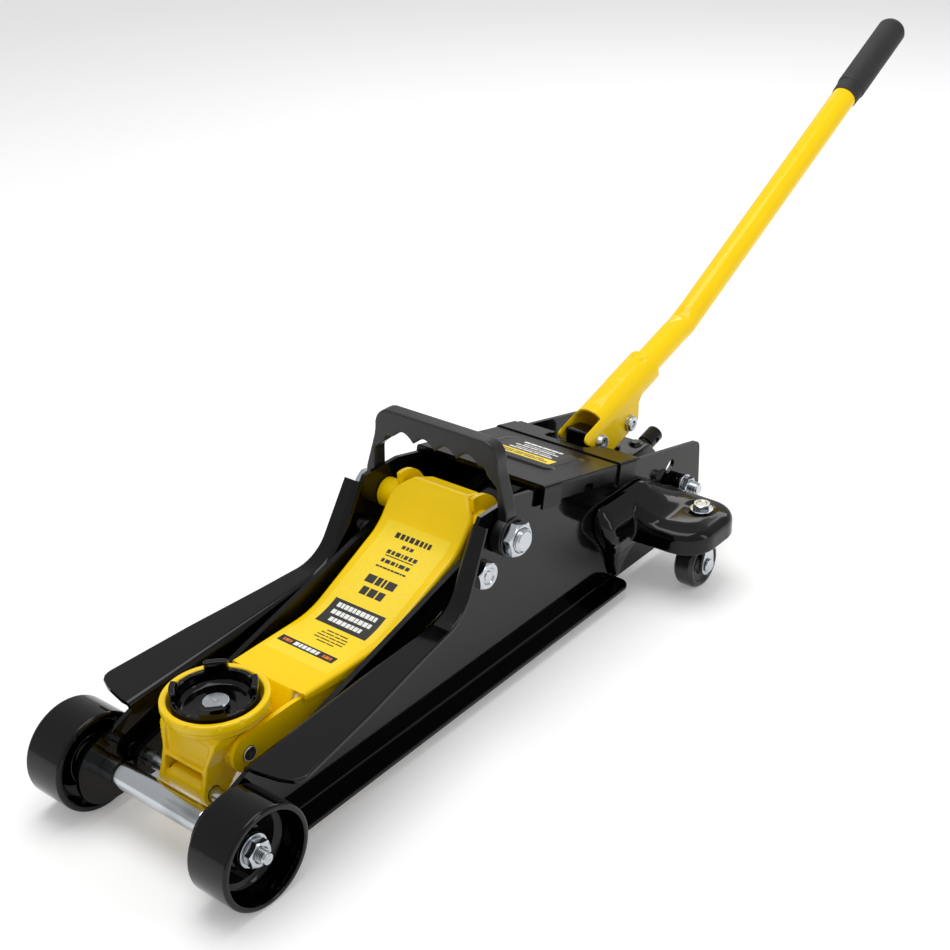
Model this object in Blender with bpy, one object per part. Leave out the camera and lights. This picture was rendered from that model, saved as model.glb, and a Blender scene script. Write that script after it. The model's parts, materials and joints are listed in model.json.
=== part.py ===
"""Low-profile hydraulic trolley jack, modelled piece by piece.

X runs across the chassis, +Y from the front wheels back to the pump handle, +Z up.
Sizes are in millimetres, and add_piece() turns each finished mesh into metres.
Heights count from the floor and lengths from the front axle.
"""
import math

import bmesh
import bpy
from mathutils import Matrix, Vector

MM = 0.001
GAP = 0.3                     # clearance between pieces that touch

# Chassis
PLATE_INSIDE = 60.0           # inner face of a side plate, from the centre line
PLATE_WALL = 4.0
PLATE_OUTSIDE = PLATE_INSIDE + PLATE_WALL
PLATE_FRONT = -28.0
PLATE_REAR = 620.0
PLATE_LOW = 11.0
PLATE_TOP = 159.0             # crest of the side plates, above the lift pivot
PLATE_CREST_Y = 334.0
PLATE_TAIL_Z = 93.5           # height of the top edge at its rear end
FLANGE_WALL = 4.0
LOW_FLANGE_REACH = 19.0
LOW_FLANGE_START = 46.0
LOW_FLANGE_END = 477.0

# Front wheels and axle
WHEEL_RADIUS = 40.0
WHEEL_WIDTH = 38.0
WHEEL_GAP = 5.6               # side plate to wheel
WHEEL_RIM = 4.5
AXLE_RADIUS = 7.0
AXLE_MIDDLE_RADIUS = 10.0
AXLE_NUT_FLATS = 19.0
AXLE_NUT_THICK = 9.0

# Lift arm, link bars and saddle (pivots are (y, z) pairs)
ARM_PIVOT = (316.0, 134.0)
SADDLE_PIVOT = (55.0, 62.0)
LINK_OFFSET = (-28.0, -24.0)  # from each arm pivot to the matching link pivot
PIVOT_RADIUS = 10.0
PIN_RADIUS = 6.0
ARM_WALL = 4.0
COVER_WALL = 3.0
COVER_LIP = 0.5                 # least depth of the cover's folded sides below its sheet
ARM_FRONT_HALF = 39.4         # half width of the arm cover at its front corners
ARM_REAR_HALF = 44.3
ARM_COVER_FRONT = 112.7
ARM_COVER_REAR = 303.0
LINK_INSIDE = 48.0
LINK_WALL = 5.0
SADDLE_Y = 58.5
SADDLE_TOP = 97.5
SADDLE_RING_RADIUS = 41.0
SADDLE_RING_WALL = 5.5
PAD_RADIUS = 33.0
PAD_TOP = 106.5
PAD_BOLT_RADIUS = 6.0
LIFT_RANGE = 50.0             # degrees

# Hydraulics
RAM_Z = 72.0                  # height of the cylinder's axis
RAM_PIN_ARM = 65.0            # lift pivot to ram pin
RAM_PIN_RADIUS = 7.0
ROD_RADIUS = 10.0
RAM_HEAD_BACK = 30.0          # ram pin to the back of the ram head
CYLINDER_RADIUS = 26.0
CYLINDER_WALL = 5.0
CYLINDER_FRONT = 398.0
PISTON_DEPTH = 72.0           # cylinder mouth to the piston, arm down
PISTON_THICK = 12.0
SPRING_RADIUS = 6.0
BLOCK_FRONT = 505.0
BLOCK_REAR = 600.0
BLOCK_HALF = 30.0
BLOCK_LOW = 40.0
BLOCK_TOP = 94.0

# Handle socket and handle
SOCKET_PIVOT = (522.0, 118.0)
HANDLE_REST = 17.0            # degrees above horizontal, lower stretch
HANDLE_BEND = 9.3             # extra rise of the upper stretch
SOCKET_WALL = 3.0
SOCKET_LENGTH = 104.0
TUBE_LIFT = 7.3               # tube axis above the socket pivot
TUBE_RADIUS = 13.0
SOCKET_OUTSIDE = TUBE_RADIUS + SOCKET_WALL + 1.3
TUBE_WALL = 2.0
TUBE_FOOT = 66.0
BEND_AT = 178.0               # along the socket axis
HANDLE_REACH = 463.0          # bend to the end of the tube
GRIP_RADIUS = TUBE_RADIUS + 2.5
GRIP_LENGTH = 122.0
ROLLER_AT = (46.0, -13.0)     # along and across the socket axis
ROLLER_RADIUS = 6.5
SOCKET_BOLT_RADIUS = 5.0
PLUNGER_Y = SOCKET_PIVOT[0] + 38.0
PLUNGER_RADIUS = 8.0
PLUNGER_CAP_RADIUS = SOCKET_OUTSIDE - SOCKET_WALL - GAP

# Casters
CASTER_RADIUS = 23.4
CASTER_WIDTH = 20.0
CASTER_X = PLATE_OUTSIDE + 54.0
CASTER_Y = 537.0
CASTER_BOLT_RADIUS = 5.0
CASTER_AXLE_RADIUS = 4.0
CASTER_TRAIL = 8.0
BRACKET_TOP = 75.0
BRACKET_SKIRT = 23.0
BRACKET_WALL = 3.5
WING_RADIUS = 28.0            # rounded end of the bracket around the swivel bolt

# Carry handle
CARRY_TOP = 213.0
CARRY_HALF = PLATE_OUTSIDE - 2.0
CARRY_BAR = 12.0              # width of the bail's legs at the top
CARRY_DEPTH = 14.0
BOSS_RADIUS = PIVOT_RADIUS + 7.0
BOSS_START = PLATE_OUTSIDE + 1.2
BOSS_WIDTH = 11.0

# Rear tie rod (y, z) and cover plate
TIE_ROD = (578.0, 67.0)
TIE_RADIUS = 6.0
OIL_HOLE = (568.0, 87.5)
OIL_HOLE_RADIUS = 5.0
TOP_COVER_START = 368.0
TOP_COVER_END = 512.0
TOP_COVER_WALL = 2.5

SIDES = (("left", 1), ("right", -1))

FINISHES = {                  # colour, roughness, metallic
    "black_enamel": ((0.008, 0.008, 0.009, 1), 0.15, 0.0),
    "yellow_enamel": ((0.92, 0.68, 0.0, 1), 0.2, 0.0),
    "zinc": ((0.62, 0.64, 0.66, 1), 0.3, 1.0),
    "bright_steel": ((0.6, 0.6, 0.6, 1), 0.15, 1.0),
    "cast_steel": ((0.03, 0.03, 0.03, 1), 0.5, 0.6),
    "black_plastic": ((0.015, 0.015, 0.016, 1), 0.4, 0.0),
    "black_rubber": ((0.02, 0.02, 0.02, 1), 0.7, 0.0),
}

bodies = {}                   # joint name to its empty


# ---------------------------------------------------------------- outlines
def hull(discs, steps=20):
    """Convex outline around discs given as (u, v, radius)."""
    points = set()
    for u, v, radius in discs:
        for step in range(steps):
            turn = 2 * math.pi * (step + 0.5) / steps
            points.add((u + radius * math.cos(turn), v + radius * math.sin(turn)))
    ordered = sorted(points)

    def chain(sequence):
        side = []
        for point in sequence:
            while len(side) > 1 and turn_of(side[-2], side[-1], point) <= 1e-9:
                side.pop()
            side.append(point)
        return side[:-1]

    return chain(ordered) + chain(reversed(ordered))


def turn_of(a, b, c):
    """Positive where a to b to c turns left."""
    return (b[0] - a[0]) * (c[1] - a[1]) - (b[1] - a[1]) * (c[0] - a[0])


def rounded(corners, closed=True, steps=4):
    """Outline through (u, v, radius) corners, each rounded by an arc of its radius."""
    outline = []
    count = len(corners)
    for index, (u, v, radius) in enumerate(corners):
        corner = Vector((u, v))
        if radius == 0 or (not closed and index in (0, count - 1)):
            outline.append((u, v))
            continue
        back = (Vector(corners[index - 1][:2]) - corner).normalized()
        ahead = (Vector(corners[(index + 1) % count][:2]) - corner).normalized()
        half = back.angle(ahead) / 2
        centre = corner + (back + ahead).normalized() * radius / math.sin(half)
        start = corner + back * radius / math.tan(half) - centre
        finish = corner + ahead * radius / math.tan(half) - centre
        sweep = start.angle_signed(finish)
        for step in range(steps + 1):
            arm = start.copy()
            arm.rotate(Matrix.Rotation(-sweep * step / steps, 2))
            outline.append(tuple(centre + arm))
    return outline


def between(value, places, results):
    """Straight-line interpolation, held at both ends."""
    if value <= places[0]:
        return results[0]
    for index in range(1, len(places)):
        if value <= places[index]:
            share = (value - places[index - 1]) / (places[index] - places[index - 1])
            return results[index - 1] + share * (results[index] - results[index - 1])
    return results[-1]


# ------------------------------------------------------------------ solids
def mesh_object(build, label="work"):
    """An object from a bmesh, with its faces turned outwards."""
    bmesh.ops.remove_doubles(build, verts=build.verts[:], dist=1e-4)
    bmesh.ops.recalc_face_normals(build, faces=build.faces[:])
    mesh = bpy.data.meshes.new(label)
    build.to_mesh(mesh)
    build.free()
    made = bpy.data.objects.new(label, mesh)
    bpy.context.scene.collection.objects.link(made)
    return made


def on_axis(axis, along, u, v):
    """Point at along on the axis, with (u, v) on the other two axes in X, Y, Z order."""
    if axis == "X":
        return (along, u, v)
    if axis == "Y":
        return (u, along, v)
    return (u, v, along)


def prism(outline, axis, low, high):
    """Outline extruded along an axis from low to high."""
    build = bmesh.new()
    rings = []
    for along in (low, high):
        rings.append([build.verts.new(on_axis(axis, along, u, v)) for u, v in outline])
    count = len(outline)
    for index in range(count):
        after = (index + 1) % count
        build.faces.new((rings[0][index], rings[0][after], rings[1][after], rings[1][index]))
    build.faces.new(rings[0])
    build.faces.new(list(reversed(rings[1])))
    return mesh_object(build)


def turned(profile, axis, centre, steps=24, closed=False):
    """Solid of revolution: (along, radius) points, open profiles start and end on the axis."""
    build = bmesh.new()
    rings = []
    for along, radius in profile:
        count = 1 if radius == 0 else steps
        ring = []
        for step in range(count):
            turn = 2 * math.pi * step / steps
            u = centre[0] + radius * math.cos(turn)
            v = centre[1] + radius * math.sin(turn)
            ring.append(build.verts.new(on_axis(axis, along, u, v)))
        rings.append(ring)
    pairs = list(zip(rings, rings[1:]))
    if closed:
        pairs.append((rings[-1], rings[0]))
    for ring, other in pairs:
        for step in range(steps if len(ring) + len(other) > 2 else 0):
            after = (step + 1) % steps
            corners = [ring[step % len(ring)], ring[after % len(ring)],
                       other[after % len(other)], other[step % len(other)]]
            build.faces.new(list(dict.fromkeys(corners)))
    return mesh_object(build)


def rod(axis, centre, radius, low, high, steps=20):
    """Plain round bar."""
    return turned([(low, 0), (low, radius), (high, radius), (high, 0)], axis, centre, steps)


def ring(axis, centre, inner, outer, low, high, steps=20):
    """Plain round tube, washer or bush."""
    profile = [(low, inner), (low, outer), (high, outer), (high, inner)]
    return turned(profile, axis, centre, steps, closed=True)


def hexagon(axis, centre, flats, low, high, bore=0.0):
    """Hexagon nut or bolt head, with its rim chamfered and its bore open."""
    corner = flats / math.sqrt(3)
    outline = []
    for step in range(6):
        turn = math.pi * (step + 0.5) / 3
        outline.append((centre[0] + corner * math.cos(turn), centre[1] + corner * math.sin(turn)))
    nut = prism(outline, axis, low, high)
    edge = min(1.6, (high - low) / 4)
    shape = [(low, 0), (low, flats / 2), (low + edge, corner + 0.2),
             (high - edge, corner + 0.2), (high, flats / 2), (high, 0)]
    combine(nut, turned(shape, axis, centre, 18), "INTERSECT")
    if bore:
        combine(nut, rod(axis, centre, bore, low - 5, high + 5, 16), "DIFFERENCE")
    return nut


def loft(sections):
    """Closed solid through cross-sections, which are lists of as many 3-D points each."""
    build = bmesh.new()
    rings = [[build.verts.new(point) for point in section] for section in sections]
    count = len(rings[0])
    for one, two in zip(rings, rings[1:]):
        for index in range(count):
            after = (index + 1) % count
            build.faces.new((one[index], one[after], two[after], two[index]))
    build.faces.new(rings[0])
    build.faces.new(list(reversed(rings[-1])))
    return mesh_object(build)


def combine(base, tool, operation):
    """Boolean of two work objects, applied; the tool is used up."""
    cut = base.modifiers.new("boolean", "BOOLEAN")
    cut.operation = operation
    cut.object = tool
    bpy.context.view_layer.update()
    evaluated = base.evaluated_get(bpy.context.evaluated_depsgraph_get())
    result = bpy.data.meshes.new_from_object(evaluated)
    base.modifiers.remove(cut)
    old = base.data
    base.data = result
    bpy.data.meshes.remove(old)
    bpy.data.objects.remove(tool)
    return base


def join(base, *others):
    for other in others:
        combine(base, other, "UNION")
    return base


def drill(base, *tools):
    for tool in tools:
        combine(base, tool, "DIFFERENCE")
    return base


def mirrored(made, sign):
    """Turn a +X piece into its twin on the side that sign names."""
    if sign < 0:
        made.data.transform(Matrix.Scale(-1, 4, (1, 0, 0)))
        made.data.flip_normals()
    return made


def tilted(made, degrees, pivot):
    """Rise of the +Y end by an angle about a pivot (y, z)."""
    centre = Vector((0, pivot[0], pivot[1]))
    turn = Matrix.Rotation(math.radians(degrees), 4, "X")
    made.data.transform(Matrix.Translation(centre) @ turn @ Matrix.Translation(-centre))
    return made


# ------------------------------------------------------------------ pieces
def add_body(name, pivot, parent=None):
    """Empty on a joint's axis, which carries the pieces that turn or slide with it."""
    empty = bpy.data.objects.new(f"joint_{name}", None)
    bpy.context.scene.collection.objects.link(empty)
    empty.empty_display_size = 0.03
    place = Vector(pivot) * MM
    if parent:
        empty.parent = bodies[parent]
        place -= world_place(parent)
    empty.location = place
    bodies[name] = empty


def world_place(name):
    """Where a body's joint is, before the whole jack is centred."""
    place = Vector((0, 0, 0))
    empty = bodies[name]
    while empty:
        place += empty.location
        empty = empty.parent
    return place


def add_piece(name, made, finish, body):
    """Name a finished piece, paint it and hang it on its body's joint."""
    made.name = name
    made.data.name = name
    made.data.transform(Matrix.Translation(-world_place(body)) @ Matrix.Scale(MM, 4))
    made.parent = bodies[body]
    made.data.materials.clear()
    made.data.materials.append(paint(name, finish))
    made.data.shade_smooth()
    made.data.set_sharp_from_angle(angle=math.radians(35))
    return made


def paint(name, finish):
    """The piece's own material."""
    colour, roughness, metallic = FINISHES[finish]
    material = bpy.data.materials.new(f"{name}_{finish}")
    material.use_nodes = True
    shader = material.node_tree.nodes["Principled BSDF"]
    shader.inputs["Base Color"].default_value = colour
    shader.inputs["Roughness"].default_value = roughness
    shader.inputs["Metallic"].default_value = metallic
    return material


# ------------------------------------------------------------ shared places
def shifted(pivot, offset):
    return (pivot[0] + offset[0], pivot[1] + offset[1])


LINK_PIVOT = shifted(ARM_PIVOT, LINK_OFFSET)
LINK_PIN = shifted(SADDLE_PIVOT, LINK_OFFSET)
HALF_LIFT = math.radians(LIFT_RANGE / 2)
RAM_PIN = (ARM_PIVOT[0] + RAM_PIN_ARM * math.sin(HALF_LIFT),
           ARM_PIVOT[1] - RAM_PIN_ARM * math.cos(HALF_LIFT))
TOP_SLOPE = (PLATE_TAIL_Z - PLATE_TOP) / (PLATE_REAR - PLATE_CREST_Y)
WHEEL_INSIDE = PLATE_OUTSIDE + WHEEL_GAP
WHEEL_OUTSIDE = WHEEL_INSIDE + WHEEL_WIDTH
WHEEL_SEAT = WHEEL_OUTSIDE - 16.0     # shoulder of the axle and bottom of the hub, inside the wheel's cup
FLANGE_ROOT = PLATE_INSIDE + 1.5
AXLE = (0.0, WHEEL_RADIUS)
CASTER_AXLE = (CASTER_Y - CASTER_TRAIL, CASTER_RADIUS)
SPRING_X = CYLINDER_RADIUS + 12
CHEEK_INSET = COVER_WALL + GAP


def plate_top(y):
    """Height of the sloping top edge of the side plates."""
    return PLATE_TOP + TOP_SLOPE * (y - PLATE_CREST_Y)


def arm_half(y):
    """Half width of the tapering lift arm cover."""
    taper = (ARM_REAR_HALF - ARM_FRONT_HALF) / (ARM_COVER_REAR - ARM_COVER_FRONT)
    return ARM_FRONT_HALF + taper * (y - ARM_COVER_FRONT)


def tapered(made, overhang):
    """Move a straight arm plate out so that its outer face follows the cover's taper."""
    for vertex in made.data.vertices:
        vertex.co.x += arm_half(vertex.co.y) - overhang
    return made


def on_socket(along, across):
    """(y, z) of a place on the handle socket, from its pivot."""
    turn = math.radians(HANDLE_REST)
    return (SOCKET_PIVOT[0] + along * math.cos(turn) - across * math.sin(turn),
            SOCKET_PIVOT[1] + along * math.sin(turn) + across * math.cos(turn))


# ------------------------------------------------------------------ chassis
def upper_flange():
    """Rail rolled out along the top edge of a side plate, wide at the front."""
    start = (27, 2 * WHEEL_RADIUS + 1.5)
    edge = rounded([(*start, 0), (246, 95, 40), (283, 157, 0)], closed=False, steps=6)
    slope = (95 - start[1]) / (246 - start[0])
    front = [(start[0] + rise, start[1] + rise * slope) for rise in (0, 4, 8, 12, 17, 93)]
    stations = front + edge[1:]
    sections = []
    for index, (y, z) in enumerate(stations):
        before = stations[max(index - 1, 0)]
        after = stations[min(index + 1, len(stations) - 1)]
        run = Vector((after[0] - before[0], after[1] - before[1])).normalized()
        low = (y + run.y * FLANGE_WALL, z - run.x * FLANGE_WALL)
        reach = PLATE_OUTSIDE + between(y, (27, 31, 35, 39, 44, 120, 187, 235, 283),
                                        (6, 24, 37, 41, 42.5, 34, 24, 18, 12))
        sections.append([(FLANGE_ROOT, y, z), (reach, y, z), (reach, *low), (FLANGE_ROOT, *low)])
    return loft(sections)


def side_plate(side, sign):
    nose = WHEEL_RADIUS + 28
    outline = rounded([
        (PLATE_FRONT, PLATE_LOW, 27), (PLATE_FRONT, nose, 27), (8, nose, 8), (26, nose + 12.5, 4),
        (246, 94, 38), (284, PLATE_TOP, 6), (PLATE_CREST_Y, PLATE_TOP, 14),
        (PLATE_REAR, PLATE_TAIL_Z, 9), (PLATE_REAR, 47, 6), (544, PLATE_LOW, 10)])
    plate = prism(outline, "X", PLATE_INSIDE, PLATE_OUTSIDE)
    reach = PLATE_OUTSIDE + LOW_FLANGE_REACH
    low = prism(rounded([(FLANGE_ROOT, LOW_FLANGE_START, 0), (FLANGE_ROOT, LOW_FLANGE_END, 0),
                         (reach, LOW_FLANGE_END, 10), (reach, LOW_FLANGE_START, 8)]),
                "Z", PLATE_LOW - 1, PLATE_LOW - 1 + FLANGE_WALL)
    join(plate, low, upper_flange())
    holes = [(AXLE, AXLE_RADIUS), (ARM_PIVOT, PIVOT_RADIUS), (LINK_PIVOT, PIN_RADIUS),
             (TIE_ROD, TIE_RADIUS), (OIL_HOLE, OIL_HOLE_RADIUS)]
    for centre, radius in holes:
        drill(plate, rod("X", centre, radius + GAP, PLATE_INSIDE - 3, PLATE_OUTSIDE + 3, 16))
    add_piece(f"side_plate_{side}", mirrored(plate, sign), "black_enamel", "chassis")


def front_axle():
    tip = AXLE_RADIUS - 1.5
    shoulder = PLATE_INSIDE - GAP
    end = WHEEL_OUTSIDE + 0.4
    half = [(0, AXLE_MIDDLE_RADIUS), (shoulder - 15.7, AXLE_MIDDLE_RADIUS),
            (shoulder - 12.7, AXLE_RADIUS + 1), (shoulder, AXLE_RADIUS + 1), (shoulder, AXLE_RADIUS),
            (WHEEL_SEAT, AXLE_RADIUS), (WHEEL_SEAT, tip), (end - 1, tip), (end, tip - 1), (end, 0)]
    profile = [(-along, radius) for along, radius in reversed(half)] + half[1:]
    add_piece("front_axle", turned(profile, "X", AXLE, 20), "zinc", "chassis")
    washer_top = WHEEL_SEAT + GAP + 2
    for side, sign in SIDES:
        washer = ring("X", AXLE, tip + GAP, 13, WHEEL_SEAT + GAP, washer_top)
        add_piece(f"axle_washer_{side}", mirrored(washer, sign), "zinc", "chassis")
        low = washer_top + GAP
        nut = hexagon("X", AXLE, AXLE_NUT_FLATS, low, low + AXLE_NUT_THICK, tip + GAP)
        add_piece(f"axle_nut_{side}", mirrored(nut, sign), "zinc", "chassis")


def front_wheel(side, sign):
    body = f"front_wheel_{side}"
    inner = WHEEL_INSIDE
    outer = WHEEL_OUTSIDE
    add_body(body, (sign * (inner + outer) / 2, *AXLE), "chassis")
    bore = AXLE_RADIUS + GAP
    bowl = WHEEL_RADIUS - WHEEL_RIM
    profile = [(inner - 3, bore), (inner - 3, 13), (inner + 9, 20), (inner + 9, bowl - 3),
               (inner + 5, bowl - 1), (inner, bowl), (inner, WHEEL_RADIUS - 2), (inner + 2, WHEEL_RADIUS),
               (outer - 2, WHEEL_RADIUS), (outer, WHEEL_RADIUS - 2), (outer, bowl + 0.5),
               (inner + 18, bowl - 1.5), (inner + 15, bowl - 4), (inner + 15, 16), (WHEEL_SEAT - 0.2, 12),
               (WHEEL_SEAT - 0.2, bore)]
    wheel = turned(profile, "X", AXLE, 32, closed=True)
    add_piece(body, mirrored(wheel, sign), "black_enamel", body)


def tie_rod():
    reach = PLATE_OUTSIDE + 26
    bore = TIE_RADIUS + GAP
    seat = PLATE_OUTSIDE + 9
    add_piece("rear_tie_rod", rod("X", TIE_ROD, TIE_RADIUS, -reach, reach, 16), "zinc", "chassis")
    for side, sign in SIDES:
        spacer = ring("X", TIE_ROD, bore, bore + 3.2, PLATE_OUTSIDE + GAP, seat, 16)
        add_piece(f"tie_rod_spacer_{side}", mirrored(spacer, sign), "black_enamel", "chassis")
        nut = hexagon("X", TIE_ROD, 2 * TIE_RADIUS + 4, seat + GAP, seat + 8, bore)
        add_piece(f"tie_rod_nut_{side}", mirrored(nut, sign), "zinc", "chassis")


def pivot_shaft():
    low = BOSS_START + BOSS_WIDTH + GAP
    reach = low + 12.5
    add_piece("lift_pivot_shaft", rod("X", ARM_PIVOT, PIVOT_RADIUS, -reach, reach), "zinc", "chassis")
    for side, sign in SIDES:
        nut = hexagon("X", ARM_PIVOT, 2 * PIVOT_RADIUS + 7, low, low + 9, PIVOT_RADIUS + GAP)
        add_piece(f"lift_pivot_nut_{side}", mirrored(nut, sign), "zinc", "chassis")


def link_bolt(side, sign):
    """Shouldered bolt that a link bar turns on, headed outside the side plate."""
    inner = LINK_INSIDE - 1.5
    shoulder = LINK_INSIDE + LINK_WALL + GAP
    profile = [(inner, 0), (inner, PIN_RADIUS), (shoulder, PIN_RADIUS), (shoulder, PIN_RADIUS + 3),
               (PLATE_INSIDE - GAP, PIN_RADIUS + 3), (PLATE_INSIDE - GAP, PIN_RADIUS),
               (PLATE_OUTSIDE + 4, PIN_RADIUS), (PLATE_OUTSIDE + 4, 0)]
    bolt = turned(profile, "X", LINK_PIVOT, 20)
    head = hexagon("X", LINK_PIVOT, 22, PLATE_OUTSIDE + GAP, PLATE_OUTSIDE + 9.5)
    add_piece(f"link_bolt_{side}", mirrored(join(bolt, head), sign), "zinc", "chassis")


def top_cover():
    """Pressed cover between the side plates, with tabs folded over their top edges."""
    start = TOP_COVER_START
    end = TOP_COVER_END
    edge = PLATE_OUTSIDE + GAP + TOP_COVER_WALL
    inner = PLATE_OUTSIDE + GAP
    stations = [(start, edge, 0.4), (start + 1, edge, 0.4), (start + 1.2, edge + 2, 19),
                (start + 25, edge + 2, 19), (start + 25.2, edge, 16), (end - 32.2, edge, 16),
                (end - 32, edge + 2, 19), (end - 8, edge + 2, 19), (end - 7.8, edge, 0.4), (end, edge, 0.4)]
    sections = []
    for y, half, drop in stations:
        under = plate_top(y) + GAP
        top = under + TOP_COVER_WALL
        low = under - drop
        sections.append([(-half, y, low), (-half, y, top), (half, y, top), (half, y, low),
                         (inner, y, low), (inner, y, under), (-inner, y, under), (-inner, y, low)])
    cover = loft(sections)
    raised = GAP + TOP_COVER_WALL + 2
    panel = [(start + 18, plate_top(start + 18) + raised), (end - 34, plate_top(end - 34) + raised),
             (end - 30, plate_top(end - 30) + 1), (start + 14, plate_top(start + 14) + 1)]
    join(cover, prism(panel, "X", -42, 42))
    notch = rounded([(-24, end - 22, 5), (24, end - 22, 5), (24, end + 9, 0), (-24, end + 9, 0)])
    drill(cover, prism(notch, "Z", 60, 200))
    add_piece("top_cover", cover, "black_enamel", "chassis")


def bracket_wing(edge, inset, low, high):
    """Plan shape of a bracket's wing, which runs from an edge beside the plate out around the caster."""
    discs = [(edge, CASTER_Y - 48, 6 - inset / 2), (edge, CASTER_Y + 20, 6 - inset / 2),
             (CASTER_X - 2, CASTER_Y - 25, WING_RADIUS - inset), (CASTER_X, CASTER_Y, WING_RADIUS - inset)]
    return prism(hull(discs, 24), "Z", low, high)


def caster_bracket(side, sign):
    """Deep-drawn wing that carries a caster beside the chassis."""
    face = PLATE_OUTSIDE + GAP
    centre = (CASTER_X, CASTER_Y)
    low = BRACKET_TOP - BRACKET_SKIRT
    bracket = bracket_wing(face + 6, 0, low, BRACKET_TOP)
    drill(bracket, bracket_wing(face - 14, BRACKET_WALL, low - 5, BRACKET_TOP - BRACKET_WALL))
    back = [(-93, 100, 6), (-17, 96, 8), (23, 70, 6), (23, low, 4), (-45, low, 6), (-59, 20, 5),
            (-85, 20, 5), (-79, 70, 8)]
    plate = prism(rounded([(CASTER_Y + y, z, radius) for y, z, radius in back]),
                  "X", face, face + BRACKET_WALL)
    gusset = prism(rounded([(face + 1, 24, 0), (face + 10, 24, 3), (face + 24, low + 4, 8),
                            (face + 24, low + 9, 0), (face + 1, low + 9, 0)]),
                   "Y", CASTER_Y - 61, CASTER_Y - 57)
    join(bracket, plate, gusset)
    drill(bracket, rod("Z", centre, CASTER_BOLT_RADIUS + GAP, 40, 90, 16),
          turned([(BRACKET_TOP - 2, 0), (BRACKET_TOP - 2, 13), (BRACKET_TOP + 2, 17), (BRACKET_TOP + 2, 0)],
                 "Z", centre, 20))
    add_piece(f"caster_bracket_{side}", mirrored(bracket, sign), "black_enamel", "chassis")


def caster(side, sign):
    fork_top = BRACKET_TOP - BRACKET_WALL - 3.5
    centre = (CASTER_X, CASTER_Y)
    seat = BRACKET_TOP - 2 + GAP
    low = fork_top - 9
    shank = CASTER_BOLT_RADIUS
    bolt = turned([(low, 0), (low, shank), (seat, shank), (seat, 8.5), (seat + 1.5, 8.5), (seat + 1.5, 0)],
                  "Z", centre, 20)
    join(bolt, hexagon("Z", centre, 13, seat + 1, seat + 6.5),
         rod("Z", centre, 8.5, low + 0.8, low + 5, 6))
    add_piece(f"caster_bolt_{side}", mirrored(bolt, sign), "zinc", "chassis")

    fork_body = f"caster_swivel_{side}"
    add_body(fork_body, (sign * CASTER_X, CASTER_Y, fork_top), "chassis")
    plate = ring("Z", centre, shank + GAP, 16, fork_top - 2.5, fork_top, 28)
    join(plate, ring("Z", centre, shank + 1, 11, fork_top - 1, fork_top + 3.2 - GAP, 20))
    reach = CASTER_WIDTH / 2 + 1.2
    wall = 2.2
    outline = hull([(CASTER_Y - 4, fork_top - 8, 10), (CASTER_Y - 5, fork_top - 6, 8),
                    (*CASTER_AXLE, 9)], 16)
    for low in (CASTER_X - reach - wall, CASTER_X + reach):
        leg = prism(outline, "X", low, low + wall)
        top = fork_top - 0.4
        below = prism([(400, 0), (700, 0), (700, top), (400, top)], "X", low - 5, low + 9)
        join(plate, combine(leg, below, "INTERSECT"))
    drill(plate, rod("X", CASTER_AXLE, CASTER_AXLE_RADIUS + GAP, CASTER_X - 28, CASTER_X + 28, 16))
    add_piece(f"caster_fork_{side}", mirrored(plate, sign), "zinc", fork_body)
    span = reach + wall + GAP
    axle = rod("X", CASTER_AXLE, CASTER_AXLE_RADIUS, CASTER_X - span, CASTER_X + span, 16)
    for low in (CASTER_X - span - wall, CASTER_X + span):
        join(axle, rod("X", CASTER_AXLE, CASTER_AXLE_RADIUS + 2.5, low, low + wall, 16))
    add_piece(f"caster_axle_{side}", mirrored(axle, sign), "zinc", fork_body)

    wheel_body = f"caster_wheel_{side}"
    add_body(wheel_body, (sign * CASTER_X, *CASTER_AXLE), fork_body)
    half = CASTER_WIDTH / 2
    profile = [(-half + 0.6, CASTER_AXLE_RADIUS + GAP), (-half + 0.6, 10), (-half + 3, 12),
               (-half + 3, 17),
               (-half, CASTER_RADIUS - 2), (-half + 2, CASTER_RADIUS)]
    profile += [(-along, radius) for along, radius in reversed(profile)]
    wheel = turned([(CASTER_X + along, radius) for along, radius in profile],
                   "X", CASTER_AXLE, 24, closed=True)
    add_piece(f"caster_wheel_{side}", mirrored(wheel, sign), "black_plastic", wheel_body)


# ------------------------------------------------- lift arm, links and saddle
def cover_profile(drop=0.0):
    """Side view of the arm cover's top face, lowered by drop."""
    corners = [(109, 84, 0), (196, 83, 80), (285, 122, 50), (308, 151, 8), (317, 157, 6), (336, 150, 0)]
    return rounded([(y, z - drop, radius) for y, z, radius in corners], closed=False, steps=6)


def arm_cover():
    stations = [(90, 62), (104, 78), (108.9, 83.9), (109, 84), (109.5, 84)] + cover_profile()[1:]
    sections = []
    for y, z in stations:
        half = between(y, (90, 108.9, 109, ARM_COVER_REAR, 316, 336),
                       (29, 29, arm_half(109), ARM_REAR_HALF, 31, 27))
        fold = between(y, (109, 109.5, 280, 292), (COVER_LIP, 11, 13, COVER_LIP))
        inner = half - COVER_WALL
        under = z - COVER_WALL
        low = under - fold
        sections.append([(-half, y, low), (-half, y, z), (half, y, z), (half, y, low),
                         (inner, y, low), (inner, y, under), (-inner, y, under), (-inner, y, low)])
    add_piece("arm_cover", loft(sections), "yellow_enamel", "lift_arm")


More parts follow.
